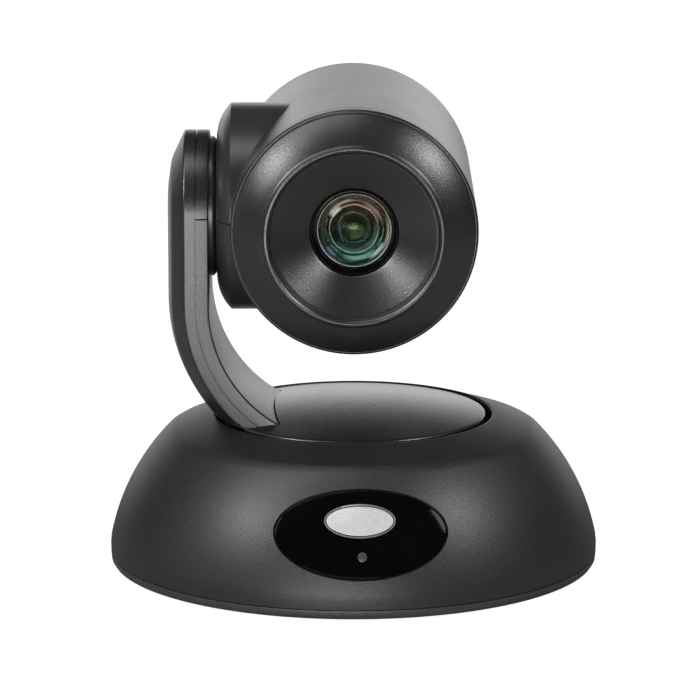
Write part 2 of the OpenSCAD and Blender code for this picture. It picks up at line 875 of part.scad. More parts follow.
module rear_cap() {
    color(satin_grey) mirror([0, 1, 0]) turned_head([
        [0, cap_end], [head_r - 2.6, cap_end], [head_r - 0.8, cap_end - 0.8],
        [head_r, cap_end - 2.6], [head_r, head_back], [head_r - wall, head_back],
        [head_r - wall, cap_end - 3], [head_r - wall - 1.2, cap_end - 2.2], [0, cap_end - 2.2]]);
}

module at_tilt_pinion() {
    translate([0, tilt_centres * cos(tilt_dir), tilt_centres * sin(tilt_dir)]) children();
}

module head_frame() {
    face = drum_x - wall;
    plate = 2.6;
    web_x = 47.9;
    color([0.55, 0.56, 0.58]) difference() {
        union() {
            along_arm(face - plate, face, 27.5);
            along_arm(bush_end, face, 14);
            head_box([plate - face, -12, -34.5], [-web_x, 12, -20]);
            head_box([plate - face, -12, -34.5], [-tilt_motor_x1, 12, -32]);
            intersection() {
                along_arm(tilt_motor_x1, tilt_motor_x1 + motor_plate_t, 38.5);
                head_box([-60, -40, -40], [0, 40, -12]);
            }
            head_box([-tilt_motor_x1 - 1, -20, floor_low], [-34, 20, floor_top]);
            head_box([-34, -38, floor_low], [30, 38, floor_top]);
        }
        along_arm(30, 60, bush_r);
        at_tilt_pinion() along_arm(30, 47, 4);
        for (p = head_posts) translate([p[0], p[1], tilt_z - 60]) cylinder(h = 60, r = 1.3);
    }
}

module tilt_bearing() {
    color(brass) difference() {
        along_arm(bush_end, drum_x - wall, bush_r);
        along_arm(30, 60, shaft_r + slack);
    }
}

module tilt_motor() {
    color([0.25, 0.25, 0.27]) difference() {
        at_tilt_pinion() {
            along_arm(tilt_motor_x0, tilt_motor_x1, tilt_motor_r);
            along_arm(tilt_motor_x1 - 1, tilt_motor_x1 + motor_plate_t, 4);
        }
        at_tilt_pinion() along_arm(tilt_motor_x0 + 2, 60, tilt_shaft_pin_r + slack);
    }
}

module tilt_pinion() {
    color(brass) at_tilt_pinion() {
        gear_on_axis(tilt_gear_x - 0.4, tilt_module, tilt_pinion_teeth, tilt_gear_h + 0.8,
            tilt_dir + 180 - 180 / tilt_pinion_teeth);
        along_arm(tilt_motor_x0 + 3, tilt_gear_x + 1, tilt_shaft_pin_r);
    }
}

// ---------- camera block ----------

module camera_housing() {
    w = block_wall;
    color(gloss_black) difference() {
        union() {
            difference() {
                head_box([-block_half, block_front, floor_top], [block_half, block_back, block_top]);
                head_box([w - block_half, block_front + w, floor_top + w],
                    [block_half - w, block_back - w, block_top - w]);
            }
            head_box([1 - block_half, bulkhead_y, floor_top + 1],
                [block_half - 1, bulkhead_y + 3, block_top - 1]);
        }
        along_head(block_front - 1, block_front + w + 1, 12.5);
        along_head(bulkhead_y - 1, bulkhead_y + 4, 9);
        along_head(block_back - w - 1, block_back + 1, 4, 14, 14);
    }
}

module lens_barrel() {
    back = -block_front;
    color(gloss_black) turned_head([
        [12.5, back], [barrel_r, back], [barrel_r, barrel_end - 0.5], [barrel_r - 0.5, barrel_end],
        [barrel_r - 1.2, barrel_end - 0.4], [glass_r + 0.5, 56], [glass_r, 53], [glass_r, back + 2],
        [12.5, back + 2]]);
}

module front_lens() {
    back = -block_front + 2;
    cap_r = 13.2;
    sag = 2.6;
    dome = (pow(cap_r, 2) + pow(sag, 2)) / (2 * sag);
    color(glass_tint) turned_head(concat(
        [[0, back], [glass_r, back], [glass_r, back + 4]],
        arc([0, back + 4 + sag - dome], dome, 90 - asin(cap_r / dome), 90, 8)));
}

module lens_retainer() {
    back = -block_front + 6;
    color(steel) turned_head([[13.4, back], [glass_r, back], [glass_r, back + 2], [13.7, back + 2]]);
}

module guide_rods() {
    color(steel) for (p = rods) along_head(block_front + block_wall, bulkhead_y, rod_r, p[0], p[1]);
}

// A lens carriage: a ring with an arm and a sleeve on each guide rod
module carriage(y0, y1, ring_r, lens_r, sleeve) {
    difference() {
        union() {
            along_head(y0, y1, ring_r);
            for (p = rods) {
                along_head(y0, y0 + sleeve, rod_r + 1.7, p[0], p[1]);
                hull() {
                    along_head(y0, y1, 2, p[0], p[1]);
                    along_head(y0, y1, 2, p[0] * 0.6, p[1] * 0.6);
                }
            }
        }
        along_head(y0 - 1, y1 + 1, lens_r);
        for (p = rods) along_head(y0 - 1, y0 + sleeve + 1, rod_r + slack, p[0], p[1]);
    }
}

module zoom_carriage() {
    color(gloss_black) carriage(-37, -32, 14, 11, 8);
}
module zoom_lens() {
    color(glass_tint) along_head(-36.5, -32.5, 11);
}
module focus_carriage() {
    color(gloss_black) carriage(6, 10, 11.5, 8.5, 6);
}
module focus_lens() {
    color(glass_tint) along_head(6.5, 9.5, 8.5);
}

module iris() {
    half = block_half - block_wall;
    color([0.2, 0.2, 0.2]) difference() {
        head_box([-half, -3, -18], [half, 1, 18]);
        along_head(-4, 2, 7);
        for (p = rods) along_head(-4, 2, rod_r + 0.2, p[0], p[1]);
    }
}

module rear_lens() {
    color(glass_tint) along_head(bulkhead_y, bulkhead_y + 2.5, 9);
}

module sensor_board() {
    half = block_half - block_wall;
    color(board_green) head_box([-half, 34.4, -16], [half, 36, 16]);
}
module image_sensor() {
    color([0.15, 0.1, 0.3]) head_box([-7, 33.2, -5], [7, 34.4, 5]);
}

base_cover();
base_plate();
base_feet();
tripod_insert();
base_screws();
ir_window();
badge();
status_led();
ir_receivers();
ir_board();
main_board();
heat_sink();
rear_panel();
dc_jack();
lan_port();
serial_port();
hdmi_port();
base_frame();
pan_bearing_outer();
pan_motor();
pan_balls();
pan_pinion();
format_selector();
platter();
turntable_hub();
pan_gear();
pan_bearing_inner();
spindle_clip();
arm_frame();
arm_outer_shell();
arm_upper_cover();
arm_lower_cover();
tilt_spacer();
tilt_shaft();
tilt_gear();
arm_cable();
arm_screws();
shaft_clip();
head_upper_shell();
head_lower_shell();
front_bezel();
rear_cap();
head_frame();
tilt_bearing();
tilt_motor();
tilt_pinion();
camera_housing();
lens_barrel();
front_lens();
lens_retainer();
guide_rods();
zoom_carriage();
zoom_lens();
iris();
focus_carriage();
focus_lens();
rear_lens();
image_sensor();
sensor_board();
head_screws();
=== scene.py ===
import json
from math import acos, asin, cos, degrees, pi, radians, sin, sqrt

import bmesh
import bpy
from mathutils import Matrix, Vector


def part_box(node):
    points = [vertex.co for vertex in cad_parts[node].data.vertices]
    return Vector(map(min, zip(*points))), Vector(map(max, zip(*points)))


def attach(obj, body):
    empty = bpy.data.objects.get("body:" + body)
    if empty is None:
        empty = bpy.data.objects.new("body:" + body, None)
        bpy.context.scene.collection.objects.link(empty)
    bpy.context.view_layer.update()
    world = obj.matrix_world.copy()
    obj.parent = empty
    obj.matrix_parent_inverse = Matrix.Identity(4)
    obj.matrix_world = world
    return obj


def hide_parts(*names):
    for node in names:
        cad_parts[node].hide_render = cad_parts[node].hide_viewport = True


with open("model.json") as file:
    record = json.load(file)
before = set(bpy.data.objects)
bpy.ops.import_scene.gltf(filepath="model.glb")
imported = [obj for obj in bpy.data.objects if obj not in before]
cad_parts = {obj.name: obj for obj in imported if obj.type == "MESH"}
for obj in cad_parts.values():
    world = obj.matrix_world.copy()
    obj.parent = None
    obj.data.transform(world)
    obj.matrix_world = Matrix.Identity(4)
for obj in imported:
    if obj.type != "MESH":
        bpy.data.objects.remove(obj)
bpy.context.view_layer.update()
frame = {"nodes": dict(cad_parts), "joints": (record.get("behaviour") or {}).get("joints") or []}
print("stage: frame loaded")

mm = 0.001  # the pieces below are drawn in millimetres and made metres at the end
mergeGap = 0.0005  # points closer than this become one


def boxOf(node):
    low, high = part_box(node)
    return Vector(low) / mm, Vector(high) / mm


def jointNamed(name):
    return next(j for j in frame["joints"] if j["name"] == name)


tiltZ = jointNamed("tilt")["pos_m"][2] / mm
baseR = boxOf("base_cover")[1].x
rimZ = boxOf("base_cover")[1].z
footLow = boxOf("base_plate")[0].z
headR = boxOf("front_bezel")[1].x
headFront = -boxOf("head_upper_shell")[0].y
headBack = boxOf("head_upper_shell")[1].y
headTail = boxOf("rear_cap")[1].y
crestY = -boxOf("front_bezel")[0].y
drumX = -boxOf("head_upper_shell")[0].x
armHalf = boxOf("arm_outer_shell")[1].y
armX = -boxOf("arm_upper_cover")[1].x
armOut = -boxOf("arm_outer_shell")[0].x
seamX = -boxOf("arm_upper_cover")[0].x
platterR = boxOf("platter")[1].y
platterTop = boxOf("platter")[1].z
far = 2 * baseR  # past the object on every side


def isSocket(value):
    return isinstance(value, bpy.types.NodeSocket)


def paint(color):
    # A socket's colour, from a grey level or from red, green and blue
    return (color, color, color, 1) if isinstance(color, float) else (*color, 1)


def feed(tree, node, **values):
    # Each value is a constant or another node's output
    for key, value in values.items():
        socket = node.inputs[key.replace("_", " ")]
        if isSocket(value):
            tree.links.new(value, socket)
        else:
            socket.default_value = value


def addNode(tree, kind, **values):
    node = tree.nodes.new("ShaderNode" + kind)
    for key, value in values.items():
        if hasattr(node, key):
            setattr(node, key, value)
        else:
            feed(tree, node, **{key: value})
    return node


def newGroup(name, inputs, outputs):
    group = bpy.data.node_groups.new(name, "ShaderNodeTree")
    for label, value in inputs.items():
        kind = "NodeSocketColor" if isinstance(value, tuple) else "NodeSocketFloat"
        socket = group.interface.new_socket(name=label, in_out="INPUT", socket_type=kind)
        socket.default_value = value
    for label, kind in outputs.items():
        group.interface.new_socket(name=label, in_out="OUTPUT", socket_type="NodeSocket" + kind)
    return group, group.nodes.new("NodeGroupInput").outputs, group.nodes.new("NodeGroupOutput")


def mathNode(tree, operation, *values, clamp=False):
    node = addNode(tree, "Math", operation=operation, use_clamp=clamp)
    for socket, value in zip(node.inputs, values):
        if isSocket(value):
            tree.links.new(value, socket)
        else:
            socket.default_value = value
    return node.outputs[0]


def product(tree, a, b, clamp=False):
    return mathNode(tree, "MULTIPLY", a, b, clamp=clamp)


def vectorNode(tree, operation, vector, other=None):
    node = addNode(tree, "VectorMath", operation=operation)
    tree.links.new(vector, node.inputs[0])
    if other:
        node.inputs[1].default_value = other
    return node.outputs


def objectCoord(tree):
    return addNode(tree, "TexCoord").outputs["Object"]


def axesOf(tree, vector):
    return addNode(tree, "SeparateXYZ", Vector=vector).outputs


def noiseAt(tree, scale, detail=2.0, rough=0.5):
    noise = addNode(tree, "TexNoise", Vector=objectCoord(tree), Scale=scale, Detail=detail, Roughness=rough)
    return noise.outputs["Fac"]


def rampBetween(tree, value, low, high):
    # 0 at low, 1 at high
    return addNode(tree, "MapRange", From_Min=low, From_Max=high, Value=value).outputs["Result"]


def mixColors(tree, under, over, amount):
    under, over = (color if isSocket(color) else paint(color) for color in (under, over))
    return addNode(tree, "Mix", data_type="RGBA", A=under, B=over, Factor=amount).outputs["Result"]


grainShape = dict(pebbleDetail=1.5, spotScale=0.8, spotSize=(0.42, 0.20), spotShare=(0.62, 0.8),
                  cloudScale=24.0, cloudRange=(0.3, 0.7), pebbleRange=(0.32, 0.68), pebbleWeight=1.1,
                  mottle=0.45, darkest=0.52, roughSpread=0.16, bumpDistance=0.00022)


def makeGrainGroup():
    # Moulded grain: fine pebbles that catch the light, with a colour that mottles a little
    g = grainShape
    group, given, result = newGroup(
        "mouldedGrain",
        {"Color": (0.05, 0.05, 0.05, 1), "Fleck": (0.3, 0.3, 0.3, 1), "Scale": 1500.0, "Fleck Amount": 0.3,
         "Roughness": 0.4, "Depth": 0.25},
        {"Color": "Color", "Roughness": "Float", "Normal": "Vector"})
    pebble = noiseAt(group, given["Scale"], g["pebbleDetail"])
    spots = addNode(group, "TexVoronoi", Vector=objectCoord(group),
                    Scale=product(group, given["Scale"], g["spotScale"])).outputs
    lit = rampBetween(group, spots["Distance"], *g["spotSize"])
    pick = addNode(group, "SeparateColor", Color=spots["Color"]).outputs["Red"]
    few = rampBetween(group, pick, *g["spotShare"])
    fleck = product(group, product(group, lit, few), given["Fleck Amount"], clamp=True)
    cloudy = rampBetween(group, noiseAt(group, g["cloudScale"], 3.0), *g["cloudRange"])
    bright = product(group, rampBetween(group, pebble, *g["pebbleRange"]), g["pebbleWeight"])
    mottle = mathNode(group, "ADD", bright, cloudy)
    value = mathNode(group, "MULTIPLY_ADD", mottle, g["mottle"], g["darkest"])
    color = mixColors(group, given["Color"], given["Fleck"], fleck)
    shade = addNode(group, "HueSaturation", Value=value, Color=color)
    spread = mathNode(group, "MULTIPLY_ADD", pebble, g["roughSpread"], -g["roughSpread"] / 2)
    bump = addNode(group, "Bump", Distance=g["bumpDistance"], Strength=given["Depth"], Height=pebble)
    feed(group, result, Color=shade.outputs["Color"], Normal=bump.outputs["Normal"],
         Roughness=mathNode(group, "ADD", spread, given["Roughness"]))
    return group


wearShape = dict(smudgeScale=38.0, smudgeRange=(0.42, 0.72), lying=(0.5, 1.0), speckScale=900.0,
                 speckRange=(0.55, 0.75), dust=(0.55, 0.54, 0.52))


def makeWearGroup():
    # Handling marks: a faint smudge mask and a little dust lying on faces that look up
    w = wearShape
    group, given, result = newGroup(
        "handlingMarks", {"Color": (0.1, 0.1, 0.1, 1), "Roughness": 0.3, "Smudge": 0.08, "Dust": 0.02},
        {"Color": "Color", "Roughness": "Float"})
    smudge = rampBetween(group, noiseAt(group, w["smudgeScale"], 5.0, 0.6), *w["smudgeRange"])
    upward = axesOf(group, addNode(group, "NewGeometry").outputs["Normal"])["Z"]
    lying = rampBetween(group, upward, *w["lying"])
    specks = rampBetween(group, noiseAt(group, w["speckScale"]), *w["speckRange"])
    dust = product(group, product(group, lying, specks), given["Dust"], clamp=True)
    rough = product(group, smudge, given["Smudge"])
    feed(group, result, Color=mixColors(group, given["Color"], w["dust"], dust),
         Roughness=mathNode(group, "ADD", rough, given["Roughness"], clamp=True))
    return group


grainGroup = makeGrainGroup()
wearGroup = makeWearGroup()


def newMaterial(name, metallic=0.0, ior=1.5, coat=0.0, coatRough=0.1, specular=0.5):
    material = bpy.data.materials.new(name)
    material.use_nodes = True
    tree = material.node_tree
    shader = tree.nodes["Principled BSDF"]
    feed(tree, shader, Metallic=metallic, IOR=ior, Coat_Weight=coat, Coat_Roughness=coatRough,
         Specular_IOR_Level=specular)
    return material, tree, shader


def grainedPlastic(name, look):
    material, tree, shader = newMaterial(name, coat=look.get("coat", 0.0), coatRough=0.2,
                                         specular=look["specular"], metallic=look.get("metallic", 0))
    grain = addNode(tree, "Group", node_tree=grainGroup, Color=paint(look["color"]),
                    Fleck=paint(look["fleck"]), Scale=look["scale"], Fleck_Amount=look["fleckAmount"],
                    Roughness=look["rough"], Depth=look["depth"]).outputs
    wear = addNode(tree, "Group", node_tree=wearGroup, Smudge=look["smudge"], Dust=look["dust"],
                   Color=grain["Color"], Roughness=grain["Roughness"]).outputs
    feed(tree, shader, Base_Color=wear["Color"], Roughness=wear["Roughness"], Normal=grain["Normal"])
    return material


charcoalLook = dict(color=(0.010, 0.010, 0.0102), fleck=0.14, scale=2100, fleckAmount=0.12,
                    rough=0.30, depth=0.33, specular=1.0, smudge=0.02, dust=0.01)
platterLook = dict(charcoalLook, color=(0.014, 0.014, 0.0142), rough=0.25, depth=0.2)
baseLook = dict(charcoalLook, color=(0.013, 0.013, 0.0132), scale=1500, fleckAmount=0.14, rough=0.43,
                depth=0.32, specular=0.8)
satinLook = dict(charcoalLook, color=(0.024, 0.024, 0.0243), fleck=0.18, depth=0.25)
trayLook = dict(color=(0.035, 0.035, 0.0355), fleck=0.24, scale=2000, fleckAmount=0.26,
                rough=0.40, depth=0.5, specular=1.0, smudge=0.02, dust=0.0)
barrelLook = dict(color=(0.0012, 0.0012, 0.0013), fleck=0.006, scale=1900, fleckAmount=0.1,
                  rough=0.13, depth=0.03, specular=0.14, smudge=0.02, dust=0.0)
badgeLook = dict(color=0.70, fleck=0.76, scale=3200, fleckAmount=0.08, metallic=0.12,
                 rough=0.32, depth=0.10, specular=0.6, smudge=0.04, dust=0.0)
rubberLook = dict(color=0.014, fleck=0.05, scale=1100, fleckAmount=0.2,
                  rough=0.75, depth=0.5, specular=0.3, smudge=0.1, dust=0.0)
blockLook = dict(color=(0.012, 0.012, 0.013), fleck=0.04, scale=1900, fleckAmount=0.2,
                 rough=0.5, depth=0.3, specular=0.4, smudge=0.04, dust=0.0)
connectorLook = dict(color=(0.015, 0.015, 0.016), fleck=0.05, scale=1700, fleckAmount=0.2,
                     rough=0.38, depth=0.25, specular=0.5, smudge=0.05, dust=0.02)
resinLook = dict(color=(0.72, 0.71, 0.66), fleck=(0.8, 0.8, 0.78), scale=900, fleckAmount=0.15,
                 rough=0.42, depth=0.12, specular=0.5, smudge=0.05, dust=0.0)
cableLook = dict(color=(0.05, 0.035, 0.02), fleck=(0.12, 0.1, 0.08), scale=700, fleckAmount=0.1,
                 rough=0.35, depth=0.1, coat=0.3, specular=0.5, smudge=0.05, dust=0.0)


def brushedMetal(name, look):
    # Drawn or turned metal: fine streaks along one axis, with soft tarnish
    roughSpread = 0.22
    material, tree, shader = newMaterial(name, metallic=1.0)
    stretch = addNode(tree, "Mapping", Vector=objectCoord(tree), Scale=look["stretch"])
    streaks = addNode(tree, "TexNoise", Vector=stretch.outputs["Vector"], Scale=look["scale"],
                      Detail=4.0).outputs["Fac"]
    tarnish = product(tree, rampBetween(tree, noiseAt(tree, 120.0, 4.0), 0.35, 0.8), 0.6)
    rough = mathNode(tree, "MULTIPLY_ADD", streaks, roughSpread, look["rough"] - roughSpread / 2)
    bump = addNode(tree, "Bump", Strength=look["depth"], Distance=0.0001, Height=streaks)
    feed(tree, shader, Base_Color=mixColors(tree, look["color"], look["dark"], tarnish), Roughness=rough,
         Normal=bump.outputs["Normal"])
    return material


metalLooks = {
    "steelPlate": dict(color=(0.50, 0.51, 0.53), dark=(0.28, 0.29, 0.31), stretch=(1, 8, 8),
                       scale=260, rough=0.32, depth=0.2),
    "groundSteel": dict(color=(0.62, 0.63, 0.65), dark=(0.42, 0.43, 0.45), stretch=(2, 2, 20),
                        scale=300, rough=0.16, depth=0.1),
    "castMetal": dict(color=(0.42, 0.43, 0.45), dark=(0.25, 0.26, 0.28), stretch=(1, 1, 1),
                      scale=900, rough=0.48, depth=0.5),
    "turnedBrass": dict(color=(0.72, 0.52, 0.22), dark=(0.42, 0.28, 0.10), stretch=(2, 2, 16),
                        scale=280, rough=0.24, depth=0.15),
    "blackOxide": dict(color=(0.06, 0.06, 0.065), dark=(0.03, 0.03, 0.033), stretch=(1, 1, 6),
                       scale=400, rough=0.38, depth=0.2),
    "extrudedAluminium": dict(color=(0.66, 0.67, 0.69), dark=(0.48, 0.49, 0.51), stretch=(12, 1, 12),
                              scale=220, rough=0.34, depth=0.2),
    "screwZinc": dict(color=(0.58, 0.58, 0.60), dark=(0.36, 0.36, 0.37), stretch=(1, 1, 1),
                      scale=500, rough=0.26, depth=0.15),
    "retainerRing": dict(color=(0.52, 0.51, 0.50), dark=(0.42, 0.41, 0.40), stretch=(1, 14, 1),
                         scale=260, rough=0.32, depth=0.05),
    "badgeSilver": dict(color=(0.80, 0.80, 0.82), dark=(0.66, 0.67, 0.69), stretch=(1, 10, 26),
                        scale=240, rough=0.36, depth=0.06),
}


def circuitBoard(name):
    # Solder mask with copper traces showing through, and tinned pads
    material, tree, shader = newMaterial(name)
    traces = addNode(tree, "TexBrick", Vector=objectCoord(tree), Scale=210.0, Mortar_Size=0.09,
                     Color1=(0.010, 0.095, 0.045, 1), Color2=(0.014, 0.12, 0.058, 1),
                     Mortar=(0.04, 0.22, 0.10, 1)).outputs["Color"]
    pads = addNode(tree, "TexVoronoi", Vector=objectCoord(tree), Scale=330.0).outputs["Distance"]
    color = mixColors(tree, traces, (0.62, 0.62, 0.60), rampBetween(tree, pads, 0.17, 0.14))
    rough = mathNode(tree, "MULTIPLY_ADD", noiseAt(tree, 300.0), 0.2, 0.25)
    feed(tree, shader, Base_Color=color, Roughness=rough)
    return material


def polishedBlack(name):
    # The window: deep gloss with faint swirls from wiping
    material, tree, shader = newMaterial(name, specular=0.07)
    cloud = rampBetween(tree, noiseAt(tree, 60.0, 4.0), 0.3, 0.8)
    color = mixColors(tree, (0.0018, 0.0018, 0.0020), (0.0030, 0.0028, 0.0034), cloud)
    swirl = mathNode(tree, "MULTIPLY_ADD", noiseAt(tree, 420.0, 5.0, 0.7), 0.10, 0.02)
    feed(tree, shader, Base_Color=color, Roughness=swirl)
    return material


def lensGlass(name, tint, ior):
    # The front glass has a low index, because its bloom lets nearly all light through
    material, tree, shader = newMaterial(name, ior=ior)
    feed(tree, shader, Base_Color=paint(tint), Transmission_Weight=1.0, Roughness=0.0)
    return material


opticShape = dict(paintedWarmAbove=(0.16, 0.11, 0.075), paintedDuskBand=(0.012, 0.016, 0.012), paintedCoolBelow=(0.030, 0.105, 0.083),
                  core=(0.015, 0.032, 0.010), paintedSparkle=(0.58, 0.62, 0.24), reach=0.014, coreR=0.0057,
                  paintedSparkleReach=0.0026, glow=0.05)
# Painted highlights on the coatings, glowing in the emission: clockwise degrees from the top, half span,
# radius and half width in mm
opticGlints = [
    dict(at=314, span=17, r=10.4, wide=1.5, color=(0.36, 0.42, 0.37)),
    dict(at=334, span=26, r=11.4, wide=0.8, color=(0.22, 0.15, 0.12)),
    dict(at=46, span=28, r=10.7, wide=0.9, color=(0.15, 0.10, 0.08)),
    dict(at=98, span=32, r=13.4, wide=0.7, color=(0.20, 0.145, 0.115)),
    dict(at=134, span=20, r=12.9, wide=0.9, color=(0.34, 0.37, 0.33)),
    dict(at=168, span=36, r=11.9, wide=1.0, color=(0.13, 0.23, 0.19)),
    dict(at=122, span=52, r=8.5, wide=1.1, color=(0.042, 0.046, 0.036)),
    dict(at=190, span=44, r=8.9, wide=0.9, color=(0.035, 0.062, 0.050)),
    dict(at=226, span=14, r=12.9, wide=0.8, color=(0.075, 0.12, 0.17)),
    dict(at=270, span=50, r=12.6, wide=0.7, color=(0.03, 0.026, 0.024)),
    dict(at=150, span=70, r=3.6, wide=1.6, color=(0.032, 0.040, 0.020))]


def glintMask(tree, way, reach, look):
    # Part of a ring with a painted highlight: the product of a span of directions and a band of radii
    aim = radians(look["at"])
    toward = vectorNode(tree, "DOT_PRODUCT", way, (sin(aim), 0, cos(aim)))["Value"]
    around = rampBetween(tree, toward, cos(radians(look["span"])), cos(radians(look["span"] * 0.3)))
    r, wide = look["r"] * mm, look["wide"] * mm
    band = product(tree, rampBetween(tree, reach, r - wide, r - wide * 0.4),
                   rampBetween(tree, reach, r + wide, r + wide * 0.4))
    return product(tree, around, band)


def coatedOptic(name):
    # Coated glass faces: coating tints with a painted reflection, warm above the lens axis and green below,
    # and a centre with painted highlights and sparkles that glow in the emission
    o = opticShape
    material, tree, shader = newMaterial(name, metallic=0.85)
    here = objectCoord(tree)
    # Painted reflection: the colour runs from green below the lens axis to warm above it, standing in for
    # what the coated faces reflect
    height = rampBetween(tree, axesOf(tree, here)["Z"], tiltZ * mm - o["reach"], tiltZ * mm + o["reach"])
    paintedReflectionRamp = addNode(tree, "ValToRGB", Fac=height)
    stops = paintedReflectionRamp.color_ramp.elements
    stops[0].position, stops[0].color = 0.10, paint(o["paintedCoolBelow"])
    stops[1].position, stops[1].color = 0.88, paint(o["paintedWarmAbove"])
    stops.new(0.52).color = paint(o["paintedDuskBand"])
    centred = addNode(tree, "Mapping", Vector=here, Location=(0, 0, -tiltZ * mm)).outputs["Vector"]
    flat = vectorNode(tree, "MULTIPLY", centred, (1, 0, 1))["Vector"]
    reach = vectorNode(tree, "LENGTH", flat)["Value"]
    way = vectorNode(tree, "NORMALIZE", flat)["Vector"]
    core = rampBetween(tree, reach, o["coreR"], o["coreR"] * 0.86)
    color = mixColors(tree, paintedReflectionRamp.outputs["Color"], o["core"], core)
    haze = mathNode(tree, "MULTIPLY_ADD", noiseAt(tree, 120.0), 0.05, 0.13)

    # Painted light: the coated faces glow faintly in their own colour, and the painted highlights glow over
    # that
    glow = mixColors(tree, 0.0, color, o["glow"])
    for look in opticGlints:
        glow = mixColors(tree, glow, look["color"], glintMask(tree, way, reach, look))
    # Painted sparkle: small bright specks near the centre glow in the emission
    spots = addNode(tree, "TexVoronoi", Vector=here, Scale=1000.0).outputs["Distance"]
    near = rampBetween(tree, reach, o["paintedSparkleReach"], o["paintedSparkleReach"] * 0.4)
    paintedSparkle = product(tree, rampBetween(tree, spots, 0.36, 0.14), near)
    feed(tree, shader, Base_Color=color, Roughness=haze, Emission_Strength=1.0,
         Emission_Color=mixColors(tree, glow, o["paintedSparkle"], paintedSparkle))
    return material


def smokedPlastic(name):
    material, tree, shader = newMaterial(name)
    cloud = rampBetween(tree, noiseAt(tree, 700.0, 3.0), 0.3, 0.8)
    color = mixColors(tree, (0.05, 0.052, 0.055), (0.11, 0.115, 0.12), cloud)
    feed(tree, shader, Base_Color=color, Roughness=0.25)
    return material


materials = {
    "charcoal": grainedPlastic("charcoalPlastic", charcoalLook),
    "baseCharcoal": grainedPlastic("baseCharcoalPlastic", baseLook),
    "platter": grainedPlastic("platterPlastic", platterLook),
    "satin": grainedPlastic("satinPlastic", satinLook),
    "tray": grainedPlastic("trayPlastic", trayLook),
    "rubber": grainedPlastic("footRubber", rubberLook),
    "block": grainedPlastic("blockPlastic", blockLook),
    "barrel": grainedPlastic("barrelGloss", barrelLook),
    "windowRim": grainedPlastic("windowRimGloss", dict(barrelLook, rough=0.2, specular=1.0)),
    "coating": coatedOptic("lensCoating"),
    "badge": grainedPlastic("badgePaint", badgeLook),
    "connector": grainedPlastic("connectorPlastic", connectorLook),
    "resin": grainedPlastic("gearResin", resinLook),
    "cable": grainedPlastic("cableFilm", cableLook),
    "board": circuitBoard("solderMask"),
    "window": polishedBlack("windowGloss"),
    "glass": lensGlass("lensGlass", (0.92, 1.0, 0.96), 1.5),
    "frontGlass": lensGlass("frontLensGlass", (0.97, 1.0, 0.98), 1.08),
    "led": smokedPlastic("ledLens"),
}
for metalName, metalLook in metalLooks.items():
    materials[metalName] = brushedMetal(metalName, metalLook)
print("stage: materials made")


def arc(centre, radius, start, end, steps):
    # Points on part of a circle, with its angles in degrees
    turns = [radians(start + (end - start) * i / steps) for i in range(steps + 1)]
    return [Vector((centre[0] + radius * cos(a), centre[1] + radius * sin(a))) for a in turns]


def softChain(points, closed=False, steps=4):
    # Rounds the corners of an outline: each point is (x, y) or (x, y, radius)
    chain = []
    count = len(points)
    for i, point in enumerate(points):
        here = Vector(point[:2])
        radius = point[2] if len(point) > 2 else 0
        if radius == 0 or (not closed and i in (0, count - 1)):
            chain.append(here)
            continue
        before = (Vector(points[i - 1][:2]) - here).normalized()
        after = (Vector(points[(i + 1) % count][:2]) - here).normalized()
        half = before.angle(after) / 2
        reach = radius / max(1e-6, abs(sin(half) / cos(half)))
        first, last = here + before * reach, here + after * reach
        middle = here + (before + after).normalized() * (radius / sin(half))
        a, b = first - middle, last - middle
        sweep = a.angle_signed(b)
        for k in range(steps + 1):
            turn = Matrix.Rotation(-sweep * k / steps, 2)
            chain.append(middle + turn @ a)
    return chain


def sketch(bm, chain, place, closed=False):
    # Puts an outline into bm; place turns (x, y) into a 3-D point
    verts = [bm.verts.new(place(p)) for p in chain]
    pairs = list(zip(verts, verts[1:])) + ([(verts[-1], verts[0])] if closed else [])
    return verts + [bm.edges.new(pair) for pair in pairs]


def tidyMesh(bm):
    bmesh.ops.remove_doubles(bm, verts=bm.verts, dist=mergeGap)
    bmesh.ops.dissolve_degenerate(bm, edges=bm.edges, dist=mergeGap / 2)
    bmesh.ops.recalc_face_normals(bm, faces=bm.faces)
    return bm


def lathe(chain, steps=192, closed=False):
    # Turns an outline of (radius, height) about Z
    bm = bmesh.new()
    geom = sketch(bm, chain, lambda p: (p[0], 0, p[1]), closed)
    bmesh.ops.spin(bm, geom=geom, cent=(0, 0, 0), axis=(0, 0, 1), dvec=(0, 0, 0), angle=2 * pi,
                   steps=steps, use_merge=True, use_duplicate=False)
    return tidyMesh(bm)


def turned(bm, matrix):
    bmesh.ops.transform(bm, matrix=matrix, verts=bm.verts)
    if matrix.determinant() < 0:
        bmesh.ops.reverse_faces(bm, faces=bm.faces)
    return bm


# Each puts a turned shape at the tilt axis, with its Z along -Y, +Y or -X
atTilt = Matrix.Translation((0, 0, tiltZ))
alongFront = atTilt @ Matrix.Rotation(pi / 2, 4, "X")
alongBack = atTilt @ Matrix.Rotation(-pi / 2, 4, "X")
alongArm = atTilt @ Matrix.Rotation(-pi / 2, 4, "Y")


def block(low, high):
    bm = bmesh.new()
    bmesh.ops.create_cube(bm, size=1)
    low, high = Vector(low), Vector(high)
    size = high - low
    bmesh.ops.transform(bm, verts=bm.verts,
                        matrix=Matrix.Translation((low + high) / 2) @ Matrix.Diagonal((*size, 1)))
    return bm


def looseObject(bm, name):
    mesh = bpy.data.meshes.new(name)
    bm.to_mesh(mesh)
    bm.free()
    thing = bpy.data.objects.new(name, mesh)
    bpy.context.scene.collection.objects.link(thing)
    return thing


